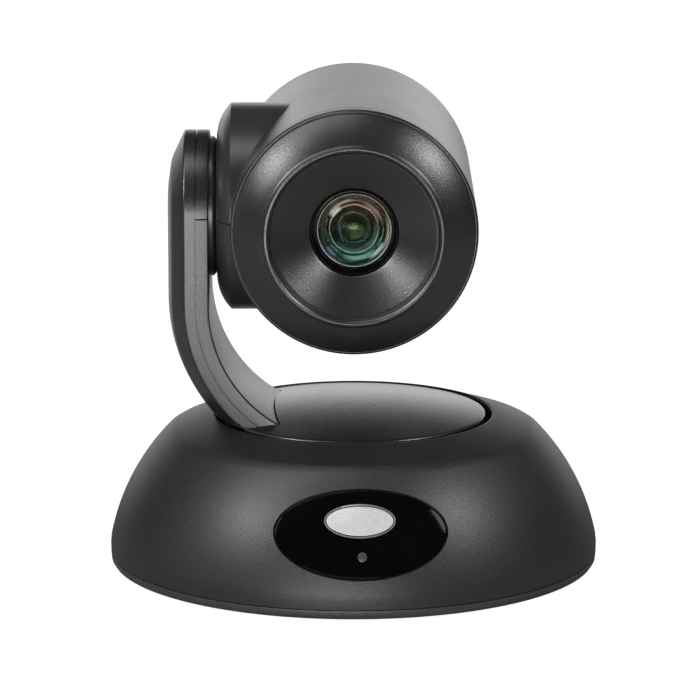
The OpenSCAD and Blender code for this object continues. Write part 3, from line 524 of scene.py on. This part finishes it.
def combine(bm, other, operation):
    # UNION, DIFFERENCE or INTERSECT of two closed meshes, both used up
    target, tool = looseObject(bm, "target"), looseObject(other, "tool")
    change = target.modifiers.new("cut", "BOOLEAN")
    change.operation = operation
    change.object = tool
    change.solver = "EXACT"
    bpy.context.view_layer.update()
    result = bpy.data.meshes.new_from_object(target.evaluated_get(bpy.context.evaluated_depsgraph_get()))
    joined = bmesh.new()
    joined.from_mesh(result)
    for thing in (target, tool):
        mesh = thing.data
        bpy.data.objects.remove(thing)
        bpy.data.meshes.remove(mesh)
    bpy.data.meshes.remove(result)
    bmesh.ops.remove_doubles(joined, verts=joined.verts, dist=mergeGap)
    return joined


def cutAway(bm, *tools):
    for tool in tools:
        bm = combine(bm, tool, "DIFFERENCE")
    return bm


def vertsIn(geom):
    return [g for g in geom if isinstance(g, bmesh.types.BMVert)]


def markSharp(bm, limit):
    for face in bm.faces:
        face.smooth = True
    for edge in bm.edges:
        edge.smooth = len(edge.link_faces) == 2 and edge.calc_face_angle(0) < radians(limit)


def finishPiece(bm, name, body, material, slot, nodes=(), limit=32):
    # Shades, scales to metres, and hands the piece to its body
    markSharp(bm, limit)
    bmesh.ops.scale(bm, vec=(mm, mm, mm), verts=bm.verts)
    piece = looseObject(bm, name)
    piece.data.materials.append(materials[material])
    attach(piece, body)
    if nodes:
        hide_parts(*nodes)
    return piece


baseShape = dict(
    band=0.3, bandTop=11.0, arcR=88.4, arcZ=-6.7, shoulderZ=55.0, crown=(73.6, 56.7), crownSoft=5.0,
    rimR=56.8, lipDrop=4.2, wall=2.4, seam=4.3, seamGap=0.35, steps=256)
# Ovals on the curved side: half width, half height and centre; turn swings all of them about the pan axis
windowShape = dict(a=34.5, b=16.5, x=0, z=32.7, turn=1.6, gap=0.12)
badgeShape = dict(a=14.1, b=6.1, x=-0.4, z=38.1, proud=0.75, rim=0.5, groove=0.4)
ledShape = dict(a=2.0, b=2.0, x=0.3, z=25.2)
bayShape = dict(half=38.0, y=78.0, low=6.5, high=34.0, corner=2.5)
trayShape = dict(floorR=98.9, edgeZ=2.2, lip=3.5, inside=3.3)


def sidePoint(z, inward=0.0):
    # Radius of the curved side at a height
    s = baseShape
    reach = s["arcR"] - inward
    centre = baseR - s["band"] - sqrt(s["arcR"] ** 2 - (s["bandTop"] - s["arcZ"]) ** 2)
    return centre + sqrt(reach ** 2 - (z - s["arcZ"]) ** 2)


def baseOutline(inward, low):
    # The cover's side from its lower edge to its crown, set in by a wall
    s = baseShape
    centre = sidePoint(s["arcZ"]) - s["arcR"]
    start = degrees(asin((s["bandTop"] - s["arcZ"]) / s["arcR"]))
    end = degrees(asin((s["shoulderZ"] - s["arcZ"]) / s["arcR"]))
    side = arc((centre, s["arcZ"]), s["arcR"] - inward, start, end, 28)
    lower = [(baseR - inward, low), (baseR - inward, s["bandTop"] - 3)]
    crown = (s["crown"][0] - 0.35 * inward, s["crown"][1] - 0.95 * inward)
    return lower + [tuple(p) for p in side] + [crown]


def makeBaseCover():
    s = baseShape
    low = s["seam"] + s["seamGap"]
    outer = baseOutline(0, low)
    outer[0] = (baseR - 0.1, low, 0.0)
    outer[-1] = (*s["crown"], s["crownSoft"])
    lipZ = rimZ - s["lipDrop"]
    lip = [(s["rimR"], rimZ, 0.9), (s["rimR"], lipZ, 0.3), (s["rimR"] + s["wall"], lipZ, 0.3),
           (s["rimR"] + s["wall"], rimZ - 0.6 - s["wall"])]
    inner = baseOutline(s["wall"], low)
    chain = softChain(outer + lip + inner[::-1], closed=True)
    return lathe(chain, s["steps"], closed=True)


def windowCutter(near=60.0, long=50.0):
    # An oval bar pointing out of the front of the base
    w = windowShape
    bm = bmesh.new()
    bmesh.ops.create_circle(bm, cap_ends=True, radius=1, segments=96)
    bmesh.ops.scale(bm, vec=(w["a"] + w["gap"], w["b"] + w["gap"], 1), verts=bm.verts)
    out = bmesh.ops.extrude_face_region(bm, geom=bm.faces[:])["geom"]
    bmesh.ops.translate(bm, vec=(0, 0, long), verts=vertsIn(out))
    bmesh.ops.recalc_face_normals(bm, faces=bm.faces)
    swing = Matrix.Rotation(radians(w["turn"]), 4, "Z")
    return turned(bm, swing @ Matrix.Translation((0, -near, w["z"])) @ Matrix.Rotation(pi / 2, 4, "X"))


def ovalPiece(look, rises):
    # A closed oval lying on the curved side: rises are (inset from the rim, height above the side)
    inside = max(d for d, h in rises)
    chain = [Vector((share, rises[0][1])) for share in (0, 0.35, 0.7)]
    chain += [Vector((1 + i, h)) for i, (d, h) in enumerate(rises)] + [Vector((0, rises[-1][1]))]
    bm = lathe(chain, 128)
    turn = Matrix.Rotation(radians(windowShape["turn"]), 3, "Z")
    for v in bm.verts:
        reach = v.co.xy.length  # below 1 it is a share of the face, and then the number of a ring
        ray = v.co.xy.normalized() if reach else v.co.xy
        inset, share = inside, reach
        if reach >= 1:
            inset, share = rises[min(len(rises) - 1, round(reach) - 1)][0], 1
        x = ray.x * share * (look["a"] - inset) + look["x"]
        z = ray.y * share * (look["b"] - inset) + look["z"]
        out = sidePoint(z, -v.co.z)
        v.co = turn @ Vector((x, -sqrt(out ** 2 - x ** 2), z))
    bmesh.ops.recalc_face_normals(bm, faces=bm.faces)
    return bm


def makeBay():
    # The walls round the rear panel's opening, cut off at the cover's own side, and the opening
    s, bay = baseShape, bayShape
    low = s["seam"] + s["seamGap"]
    frameBlock = block((-bay["half"] - s["wall"], bay["y"], low),
                       (bay["half"] + s["wall"], baseR, bay["high"] + s["wall"]))
    solid = lathe(softChain([(0, low)] + baseOutline(0.02, low) + [(0, s["crown"][1])]), s["steps"])
    opening = block((-bay["half"], bay["y"] - 1, bay["low"]), (bay["half"], baseR + 5, bay["high"]))
    upright = [e for e in opening.edges if abs(e.verts[0].co.y - e.verts[1].co.y) > 1]
    bmesh.ops.bevel(opening, geom=upright, offset=bay["corner"], segments=6, affect="EDGES", profile=0.5,
                    material=-1)
    return combine(frameBlock, solid, "INTERSECT"), opening


def buildBase():
    s, t = baseShape, trayShape
    bay, opening = makeBay()
    cover = cutAway(makeBaseCover(), windowCutter())
    cover = cutAway(combine(cover, bay, "UNION"), opening)
    finishPiece(cover, "baseCoverShell", "base", "baseCharcoal", "charcoal_cover", ["base_cover"])

    pane = [(1.1, 0.0), (0.8, -0.04), (0.66, -0.12), (0.58, -0.3), (0.58, -0.8)]
    finishPiece(ovalPiece(windowShape, pane), "receiverWindow", "base", "window", "window_black",
                ["ir_window"])
    rim = [(0.6, -0.82), (0.54, -0.1), (0.46, 0.1), (0.3, 0.16), (0.14, 0.08), (0.03, -0.12), (0, -0.4),
           (0, -2.0)]
    finishPiece(ovalPiece(windowShape, rim), "windowRim", "base", "windowRim", "window_black")

    b = badgeShape
    groove, proud = b["rim"] + b["groove"], b["proud"]
    rim = [(groove, -0.5), (b["rim"] + 0.02, -0.5), (b["rim"], 0.3), (b["rim"] - 0.12, 0.5), (0.16, 0.5),
           (0, 0.3), (0, -0.6)]
    finishPiece(ovalPiece(b, rim), "badgeRim", "base", "badgeSilver", "badge_silver", ["badge"])
    plate = [(groove + 0.5, proud), (groove + 0.3, proud - 0.05), (groove + 0.1, proud - 0.2),
             (groove, proud - 0.45), (groove, -0.45)]
    finishPiece(ovalPiece(b, plate), "blankBadge", "base", "badge", "badge_silver")

    lamp = [(0.6, 0.03), (0.25, -0.02), (0, -0.1), (0, -2.0)]
    finishPiece(ovalPiece(ledShape, lamp), "statusLight", "base", "led", "led_lens", ["status_led"])

    tray = lathe(softChain([(0, footLow), (t["floorR"], footLow, 0.4), (baseR - 0.3, t["edgeZ"], 0.6),
                            (baseR - 0.1, s["seam"], 0.3), (baseR - t["lip"], s["seam"], 0.2),
                            (baseR - t["lip"], t["inside"]), (0, t["inside"])]), s["steps"])
    finishPiece(tray, "trayDish", "base", "tray", "tray")


platterShape = dict(edgeZ=61.8, wall=2.4, hubTop=50.0, steps=256, gap=0.6, edgeSoft=0.9)


def buildPlatter():
    p = platterShape
    rise = platterTop - p["edgeZ"]
    domeR = (platterR ** 2 + rise ** 2) / (2 * rise)
    edge = degrees(acos(platterR / domeR))
    dome = arc((0, platterTop - domeR), domeR, 90, edge, 24)
    under = arc((0, platterTop - domeR), domeR - p["wall"], edge + 0.6, 90, 24)
    chain = ([tuple(q) for q in dome[:-1]] + [(*dome[-1], p["edgeSoft"]), (platterR, p["hubTop"], 0.3),
             (platterR - p["wall"], p["hubTop"], 0.3)] + [tuple(q) for q in under])
    disc = cutAway(lathe(softChain(chain), p["steps"]), armPassage(p["gap"]))
    finishPiece(disc, "platterDome", "turntable", "platter", "satin_grey", ["platter"])


armShape = dict(edge=10.1, bendZ=112.0, bendR=56.1, sweep=80.0, wall=2.4, coverWall=2.2, seamSlot=0.6,
                slotDeep=1.2, footR=55.3, footTop=64.0, footLow=58.0, footIn=29.5, wellTop=62.5,
                shaftR=10, bendSteps=48, topSteps=64)
armDeep = armOut - armX
armSeam = seamX - armX


def armOuterHalf(inward):
    # The outer side of the arm's section, (thickness, half width), from its long edge to its middle
    e = armShape["edge"]
    return [(e - 0.6 * inward, armHalf - inward, 1.2),
            (armDeep - 1.5 - 0.95 * inward, 19.5 - 0.3 * inward, 14.0),
            (armDeep - inward, 8.5, 30.0), (armDeep - inward, 0)]


def outerHalfSection():
    # From the middle of the inside, round the edge, to the middle of the outside
    a = armShape
    slot, deep = a["seamSlot"] / 2, a["slotDeep"]
    out = armOuterHalf(0)
    out = softChain([(armSeam + slot, armHalf, 0.25)] + out, steps=6)
    out[0] = Vector((armSeam + slot, armHalf))
    rebate = [Vector((armSeam, armHalf - deep)), Vector((armSeam + slot, armHalf - deep))]
    inn = softChain([(armSeam, armHalf - a["wall"])] + armOuterHalf(a["wall"]), steps=4)
    return inn[::-1] + rebate + out


def innerHalfSection():
    a = armShape
    slot, deep, w = a["seamSlot"] / 2, a["slotDeep"], a["coverWall"]
    outer = softChain([(0, 0), (0, armHalf, 0.7), (armSeam - slot, armHalf)], steps=4)
    rebate = [Vector((armSeam - slot, armHalf - deep)), Vector((armSeam, armHalf - deep))]
    inner = [Vector((armSeam, armHalf - w)), Vector((w, armHalf - w)), Vector((w, 0))]
    return (outer + rebate + inner)[::-1]


def straightPlace(z):
    return lambda p: (-armX - p[0], p[1], z)


def carrySection(bm, half, high):
    # Sweeps a section and its mirror image down the straight stretch and round the bend
    a = armShape
    loop = half + [Vector((p[0], -p[1])) for p in half[::-1] if abs(p[1]) > 1e-6]
    geom = sketch(bm, loop, straightPlace(high), closed=True)
    edges = [g for g in geom if isinstance(g, bmesh.types.BMEdge)]
    out = bmesh.ops.extrude_edge_only(bm, edges=edges)["geom"]
    bmesh.ops.translate(bm, vec=(0, 0, a["bendZ"] - high), verts=vertsIn(out))
    ends = [g for g in out if not isinstance(g, bmesh.types.BMFace)]
    bmesh.ops.spin(bm, geom=ends, cent=(a["bendR"] - armX, 0, a["bendZ"]), axis=(0, -1, 0), dvec=(0, 0, 0),
                   angle=radians(a["sweep"]), steps=a["bendSteps"], use_merge=False, use_duplicate=False)


def roundTop(bm, half):
    # Spins the section over the arm's round top
    geom = sketch(bm, half, straightPlace(tiltZ))
    bmesh.ops.spin(bm, geom=geom, cent=(0, 0, tiltZ), axis=(1, 0, 0), dvec=(0, 0, 0), angle=pi,
                   steps=armShape["topSteps"], use_merge=False, use_duplicate=False)


def capHoles(bm):
    bmesh.ops.remove_doubles(bm, verts=bm.verts, dist=mergeGap)
    bmesh.ops.holes_fill(bm, edges=[e for e in bm.edges if e.is_boundary], sides=0)
    bmesh.ops.recalc_face_normals(bm, faces=bm.faces)
    return bm


def trimFoot(bm):
    # The foot stays inside the round opening while the arm turns
    a = armShape
    ring = lathe([Vector((a["footR"], -10)), Vector((far, -10)), Vector((far, a["footTop"])),
                  Vector((a["footR"], a["footTop"]))], 256, closed=True)
    return cutAway(bm, ring, block((-far, -far, -20), (far, far, a["footLow"])),
                   block((-a["footIn"], -far, -20), (far, far, a["bendZ"] - 20)))


def armPassage(gap):
    # The room that the arm's foot takes in the platter
    a = armShape
    bm = bmesh.new()
    wide = armHalf + gap
    half = [Vector(p) for p in ((-gap, 0), (-gap, wide), (armDeep + 20, wide), (armDeep + 20, 0))]
    carrySection(bm, half, a["bendZ"] + 1)
    bm = capHoles(bm)
    well = block((-far, -wide, platterShape["hubTop"] - 1), (gap - a["footIn"], wide, a["wellTop"]))
    return combine(bm, well, "UNION")


def shaftCutter(low, high, radius):
    # A rod along the tilt axis
    bm = bmesh.new()
    bmesh.ops.create_cone(bm, cap_ends=True, segments=96, radius1=radius, radius2=radius, depth=high - low)
    bmesh.ops.translate(bm, vec=(0, 0, (low + high) / 2), verts=bm.verts)
    return turned(bm, alongArm)


def buildArm():
    a = armShape
    outer = bmesh.new()
    half = outerHalfSection()
    carrySection(outer, half, tiltZ)
    roundTop(outer, half)
    outer = trimFoot(capHoles(outer))
    finishPiece(outer, "armOuterShell", "turntable", "charcoal", "charcoal_cover", ["arm_outer_shell"])

    half = innerHalfSection()
    split = a["seamSlot"] / 2
    lower = bmesh.new()
    carrySection(lower, half, tiltZ - split)
    lower = cutAway(trimFoot(capHoles(lower)), shaftCutter(armX - 1, armX + 4, a["shaftR"]))
    finishPiece(lower, "armLowerCover", "turntable", "charcoal", "satin_grey", ["arm_lower_cover"])

    upper = bmesh.new()
    roundTop(upper, half)
    upper = cutAway(capHoles(upper), block((-far, -baseR, 0), (0, baseR, tiltZ + split)),
                    shaftCutter(armX - 1, armX + 4, a["shaftR"]))
    finishPiece(upper, "armUpperCover", "turntable", "charcoal", "satin_grey", ["arm_upper_cover"])


spacerShape = dict(r=28.4, hole=10.0, chamfer=1.2, step=0.3, soft=0.4)


def buildSpacer():
    s = spacerShape
    low, high = -boxOf("tilt_spacer")[1].x, armX
    middle = (low + high) / 2
    chain = softChain([(s["hole"], low), (s["r"] - s["chamfer"], low, s["soft"]),
                       (s["r"], middle - s["step"], s["soft"]), (s["r"], high), (s["hole"], high)],
                      closed=True)
    finishPiece(turned(lathe(chain, 160, closed=True), alongArm), "tiltSpacerDisc", "turntable", "satin",
                "satin_grey", ["tilt_spacer"])


headShape = dict(wall=2.4, drumR=42.0, faceR=28.0, drop=5.9, inner=24.9, hole=10.5, gap=0.18, steps=256,
                 drumSteps=224)
bezelShape = dict(holeY=58.9, holeBack=55.8, band=58.9, faceStart=(48.0, 60.1), crestR=34.9, lensR=17.6,
                  steps=288)


def drumChain(inward, start):
    # The drum toward the arm: a straight side and a rounded shoulder
    s = headShape
    ball = ((s["drumR"] - s["faceR"]) ** 2 + s["drop"] ** 2) / (2 * s["drop"])
    reach = ball - inward
    begin = degrees(acos((s["drumR"] - inward - s["faceR"]) / reach))
    return ([Vector((0, start)), Vector((s["drumR"] - inward, start))]
            + arc((s["faceR"], drumX - ball), reach, begin, 90, 16) + [Vector((0, drumX - inward))])


def headSolid(inward):
    # The head's body and its drum, each set in by a wall
    s = headShape
    more = 2.0 if inward else 0.0
    body = lathe([Vector((0, -headBack - more)), Vector((headR - inward, -headBack - more)),
                  Vector((headR - inward, headFront + more)), Vector((0, headFront + more))], s["steps"])
    drum = turned(lathe(drumChain(inward, s["inner"] - inward / 2), s["drumSteps"]), alongArm)
    return turned(body, alongFront), drum


def buildHeadShells():
    s = headShape
    trim = block((-far, -far, 0), (far, s["gap"] - headFront, far))  # a fine line shows at the bezel's seam
    shell = cutAway(combine(*headSolid(0), "UNION"), *headSolid(s["wall"]),
                    shaftCutter(drumX - 6, drumX + 3, s["hole"]), trim)
    copy = shell.copy()
    upper = cutAway(shell, block((-far, -far, -far), (far, far, tiltZ + s["gap"])))
    lower = cutAway(copy, block((-far, -far, tiltZ - s["gap"]), (far, far, 2 * far)))
    finishPiece(upper, "headUpperShell", "camera_head", "satin", "satin_grey", ["head_upper_shell"])
    finishPiece(lower, "headLowerShell", "camera_head", "satin", "satin_grey", ["head_lower_shell"])


def bowed(start, end, sag, steps):
    # A shallow curve that bows to the left of its run
    start, end = Vector(start), Vector(end)
    run = end - start
    side = Vector((-run[1], run[0])).normalized()
    shares = [i / steps for i in range(steps + 1)]
    return [start + run * t + side * (4 * sag * t * (1 - t)) for t in shares]


def buildBezel():
    # From the band round the head, over the crest and down the dish to the lens
    b = bezelShape
    crest = b["crestR"]
    inner = headR - headShape["wall"]
    face = bowed(b["faceStart"], (crest + 1.25, crestY - 1.0), -0.55, 18)
    dish = bowed((crest - 2.5, crestY - 2.0), (b["lensR"] + 0.35, b["holeY"] - 0.5), -0.05, 20)
    back = bowed((crest - 2.5, crestY - 4.7), (b["lensR"] + 2, b["holeY"] - 2.1), 0.0, 10)
    frontIn = bowed((inner, 58.0), (crest + 0.5, crestY - 2.9), -1.0, 10)
    chain = [(inner, headFront), (headR - 0.15, headFront, 0.1), (headR, headFront + 0.3, 0.2),
             (headR, b["band"], 0.8), (48.35, 59.9, 0.2), (48.05, 59.75, 0.1)]
    chain += [tuple(p) for p in face]
    chain += [(crest + 0.8, crestY - 0.2, 0.5), (crest - 0.3, crestY, 0.8), (crest - 1.2, crestY - 0.85, 0.5),
              (crest - 1.75, crestY - 1.75, 0.4)]
    chain += [tuple(p) for p in dish]
    chain += [(b["lensR"], b["holeY"] - 0.8, 0.3), (b["lensR"], b["holeBack"]),
              (b["lensR"] + 2, b["holeBack"])]
    chain += [tuple(p) for p in back[::-1]] + [(crest, crestY - 3.4)] + [tuple(p) for p in frontIn[::-1]]
    bm = turned(lathe(softChain(chain, closed=True), b["steps"], closed=True), alongFront)
    finishPiece(bm, "bezelRing", "camera_head", "charcoal", "charcoal_cover", ["front_bezel"], limit=40)


capShape = dict(soft=3.0, wall=2.2, steps=256)


def buildRearCap():
    c = capShape
    low, inner = headBack + headShape["gap"], headR - headShape["wall"]
    chain = softChain([(0, headTail), (headR, headTail, c["soft"]), (headR, low, 0.15), (inner, low),
                       (inner, headTail - c["wall"], 1.0), (0, headTail - c["wall"])], steps=8)
    finishPiece(turned(lathe(chain, c["steps"]), alongBack), "rearCapShell", "camera_head", "satin",
                "satin_grey", ["rear_cap"])


barrelShape = dict(outer=17.2, glass=15.2, back=44.0, front=58.1, throat=12.5, lip=0.35, coneBack=5.0,
                   seat=6.6)
retainerShape = dict(inner=14.35, outer=14.75, back=50.0, front=53.9)
glassShape = dict(r=14.2, back=51.9, edge=52.3, ball=40.0)
stackShape = dict(back=44.6, rimR=14.2, rimH=51.7, coreR=5.45, coreH=46.5, coreBall=8.87, coreSunk=7.0)
# The coated faces step inward: radius, height and softness
stackSteps = [(13.7, 51.6, 0.2), (12.1, 50.2, 0.5), (11.7, 49.6, 0.3), (11.2, 49.5, 0.3), (9.9, 50.5, 1.2),
              (9.1, 50.3, 0.5), (8.5, 49.3, 0.4), (7.9, 48.8, 0.4), (7.1, 48.0, 0.4), (6.8, 47.2, 0.3),
              (6.2, 46.9, 0.2), (5.9, 47.2, 0.2), (5.6, 47.2, 0.2)]


def finishLens(chain, steps, closed, name, *finish):
    finishPiece(turned(lathe(chain, steps, closed), alongFront), name, "camera_head", *finish)


def buildLens():
    b = barrelShape
    inner, seat = b["glass"] - b["lip"], b["front"] - b["seat"]
    chain = softChain([(b["throat"], b["back"]), (b["outer"], b["back"]),
                       (b["outer"], b["front"] - b["lip"], 0.15), (b["outer"] - 0.3, b["front"], 0.2),
                       (b["outer"] - 0.7, b["front"] - 0.75, 0.3), (inner, b["front"] - b["coneBack"], 0.2),
                       (inner, seat), (b["glass"], seat), (b["glass"], b["back"] + 2),
                       (b["throat"], b["back"] + 2)], closed=True)
    finishLens(chain, 192, True, "lensBarrelTube", "barrel", "block_black", ["lens_barrel"])

    r = retainerShape
    chain = softChain([(r["inner"], r["back"]), (r["outer"], r["back"]),
                       (r["outer"], r["front"] - 0.15, 0.1), (r["inner"] + 0.25, r["front"], 0.12),
                       (r["inner"], r["front"] - 0.3, 0.1)], closed=True)
    finishLens(chain, 192, True, "retainerRing", "retainerRing", "retainer_metal", ["lens_retainer"])

    g = glassShape
    edge = degrees(acos(g["r"] / g["ball"]))
    dome = arc((0, g["edge"] - sqrt(g["ball"] ** 2 - g["r"] ** 2)), g["ball"], edge, 90, 20)
    chain = [Vector((0, g["back"])), Vector((g["r"], g["back"]))] + dome
    finishLens(chain, 128, False, "frontGlass", "frontGlass", "lens_glass", ["front_lens"])

    t = stackShape
    edge = degrees(acos(t["coreR"] / t["coreBall"]))
    core = arc((0, t["coreH"] - t["coreSunk"]), t["coreBall"], edge, 90, 14)
    chain = softChain([(0, t["back"]), (t["rimR"], t["back"]), (t["rimR"], t["rimH"])] + stackSteps
                      + [(t["coreR"], t["coreH"], 0.15)] + [tuple(q) for q in core[1:]])
    finishLens(chain, 160, False, "coatedElements", "coating", "lens_glass")


# The CAD nodes that keep their shape, and their finishes
nodeFinish = {
    "base_feet": "rubber", "base_plate": "tray", "tripod_insert": "turnedBrass", "base_screws": "screwZinc",
    "ir_receivers": "window", "ir_board": "board", "main_board": "board", "heat_sink": "extrudedAluminium",
    "rear_panel": "connector", "dc_jack": "connector", "lan_port": "steelPlate", "serial_port": "connector",
    "hdmi_port": "steelPlate", "base_frame": "steelPlate", "pan_bearing_outer": "groundSteel",
    "pan_motor": "blackOxide", "pan_balls": "groundSteel", "pan_pinion": "turnedBrass",
    "format_selector": "resin",
    "turntable_hub": "castMetal", "pan_gear": "resin", "pan_bearing_inner": "groundSteel",
    "spindle_clip": "screwZinc", "arm_frame": "castMetal", "tilt_shaft": "groundSteel", "tilt_gear": "resin",
    "arm_cable": "cable", "arm_screws": "screwZinc", "shaft_clip": "screwZinc", "head_frame": "castMetal",
    "tilt_bearing": "turnedBrass", "tilt_motor": "blackOxide", "tilt_pinion": "turnedBrass",
    "camera_housing": "block", "guide_rods": "groundSteel",
    "zoom_carriage": "block", "zoom_lens": "glass", "iris": "blackOxide", "focus_carriage": "block",
    "focus_lens": "glass", "rear_lens": "glass", "image_sensor": "window", "sensor_board": "board",
    "head_screws": "screwZinc"}
nodeEdges = dict(weld=0.000002, soft=0.00012, angle=40)


def dressNodes():
    for node, finish in nodeFinish.items():
        thing = frame["nodes"][node]
        thing.data.materials.clear()
        thing.data.materials.append(materials[finish])
        weld = thing.modifiers.new("weld", "WELD")
        weld.merge_threshold = nodeEdges["weld"]
        soften = thing.modifiers.new("soften", "BEVEL")
        soften.width = nodeEdges["soft"]
        soften.segments = 2
        soften.limit_method = "ANGLE"
        soften.angle_limit = radians(nodeEdges["angle"])
        soften.harden_normals = False


worldShape = dict(card=1.42, room=0.08, behind=(0.72, 0.95), lowDown=(0.38, 0.15))
floorShape = dict(size=6, pale=0.36, dull=0.34, rough=0.9, glow=0.95, behind=0.5, wedge=(0.02, 0.25))
viewShape = dict(place=(-0.0097, -1.9101, 0.5041), pitch=12.3, yaw=0.29, lens=245.6, shift=-0.0049)
# glow is how bright a box's face is
softBoxes = {
    "leftBox": dict(place=(-0.88, -0.53, 0.76), aim=(0, 0, 0.1), size=(0.32, 0.38), glow=14.0),
    "rightBox": dict(place=(0.88, -0.51, 0.82), aim=(0, 0, 0.1), size=(0.28, 0.38), glow=14.5),
    "lowCard": dict(place=(-0.14, -0.86, 0.07), aim=(-0.10, 0, 0.05), size=(0.62, 0.15), glow=8.5),
    "frontCard": dict(place=(-0.15, -0.60, 0.004), aim=(-0.15, -0.60, 1), size=(0.46, 0.44), glow=1.5),
    "highLeft": dict(place=(-0.60, -0.35, 1.10), aim=(0, 0, 0.1), size=(0.40, 0.40), glow=3.2),
    "topBox": dict(place=(-0.22, -0.25, 1.28), aim=(0, 0, 0.1), size=(0.55, 0.45), glow=1.9),
    "rightFill": dict(place=(0.9, 0.13, 0.9), aim=(0, 0, 0.1), size=(0.5, 0.5), glow=0.5),
    "leftFill": dict(place=(-1.2, -0.04, 0.22), aim=(0, 0, 0.1), size=(0.4, 0.3), glow=0.5)}


def softLight(name, look):
    data = bpy.data.lights.new(name, "AREA")
    data.shape = "RECTANGLE"
    data.size, data.size_y = look["size"]
    data.energy = look["glow"] * pi * data.size * data.size_y
    light = bpy.data.objects.new(name, data)
    place = Vector(look["place"])
    light.location = place
    light.rotation_euler = (place - Vector(look["aim"])).to_track_quat("Z", "Y").to_euler()
    light.visible_camera = False
    bpy.context.scene.collection.objects.link(light)


def buildWorld():
    # A white backdrop low down behind, and a dim room elsewhere
    world = bpy.data.worlds.new("studio")
    bpy.context.scene.world = world
    world.use_nodes = True
    tree = world.node_tree
    axes = axesOf(tree, addNode(tree, "TexCoord").outputs["Generated"])
    behind = rampBetween(tree, axes["Y"], *worldShape["behind"])
    card = product(tree, behind, rampBetween(tree, axes["Z"], *worldShape["lowDown"]))
    glow = mathNode(tree, "MULTIPLY_ADD", card, worldShape["card"], worldShape["room"])
    seen = mathNode(tree, "MAXIMUM", glow, addNode(tree, "LightPath").outputs["Is Camera Ray"])
    feed(tree, tree.nodes["Background"], Strength=seen, Color=(1, 1, 1, 1))


def buildStage():
    # The floor glows white for the camera, and behind the object in a wedge
    f = floorShape
    bm = bmesh.new()
    bmesh.ops.create_grid(bm, x_segments=1, y_segments=1, size=f["size"])
    floor = looseObject(bm, "paleFloor")
    material, tree, shader = newMaterial("floorWhite")
    cloud = rampBetween(tree, noiseAt(tree, 3.0), 0.0, 1.0)
    seen = product(tree, addNode(tree, "LightPath").outputs["Is Camera Ray"], f["glow"])
    axes = axesOf(tree, objectCoord(tree))
    wedge = mathNode(tree, "SUBTRACT", axes["Y"], mathNode(tree, "ABSOLUTE", axes["X"]))
    behind = product(tree, rampBetween(tree, wedge, *f["wedge"]), f["behind"])
    feed(tree, shader, Roughness=f["rough"], Base_Color=mixColors(tree, f["dull"], f["pale"], cloud),
         Emission_Color=(1, 1, 1, 1), Emission_Strength=mathNode(tree, "MAXIMUM", seen, behind))
    floor.data.materials.append(material)

    buildWorld()
    for name, light in softBoxes.items():
        softLight(name, light)

    data = bpy.data.cameras.new("viewCamera")
    data.lens = viewShape["lens"]
    data.sensor_width = 36
    data.shift_x = viewShape["shift"]
    data.clip_end = 50
    camera = bpy.data.objects.new("viewCamera", data)
    camera.location = viewShape["place"]
    camera.rotation_euler = (radians(90 - viewShape["pitch"]), 0, -radians(viewShape["yaw"]))
    bpy.context.scene.collection.objects.link(camera)
    bpy.context.scene.camera = camera
    bpy.context.scene.view_settings.view_transform = "Standard"


buildStage()
buildBase()
print("stage: base built")
buildPlatter()
buildArm()
buildSpacer()
print("stage: arm and platter built")
buildHeadShells()
buildBezel()
buildRearCap()
buildLens()
print("stage: head built")
dressNodes()
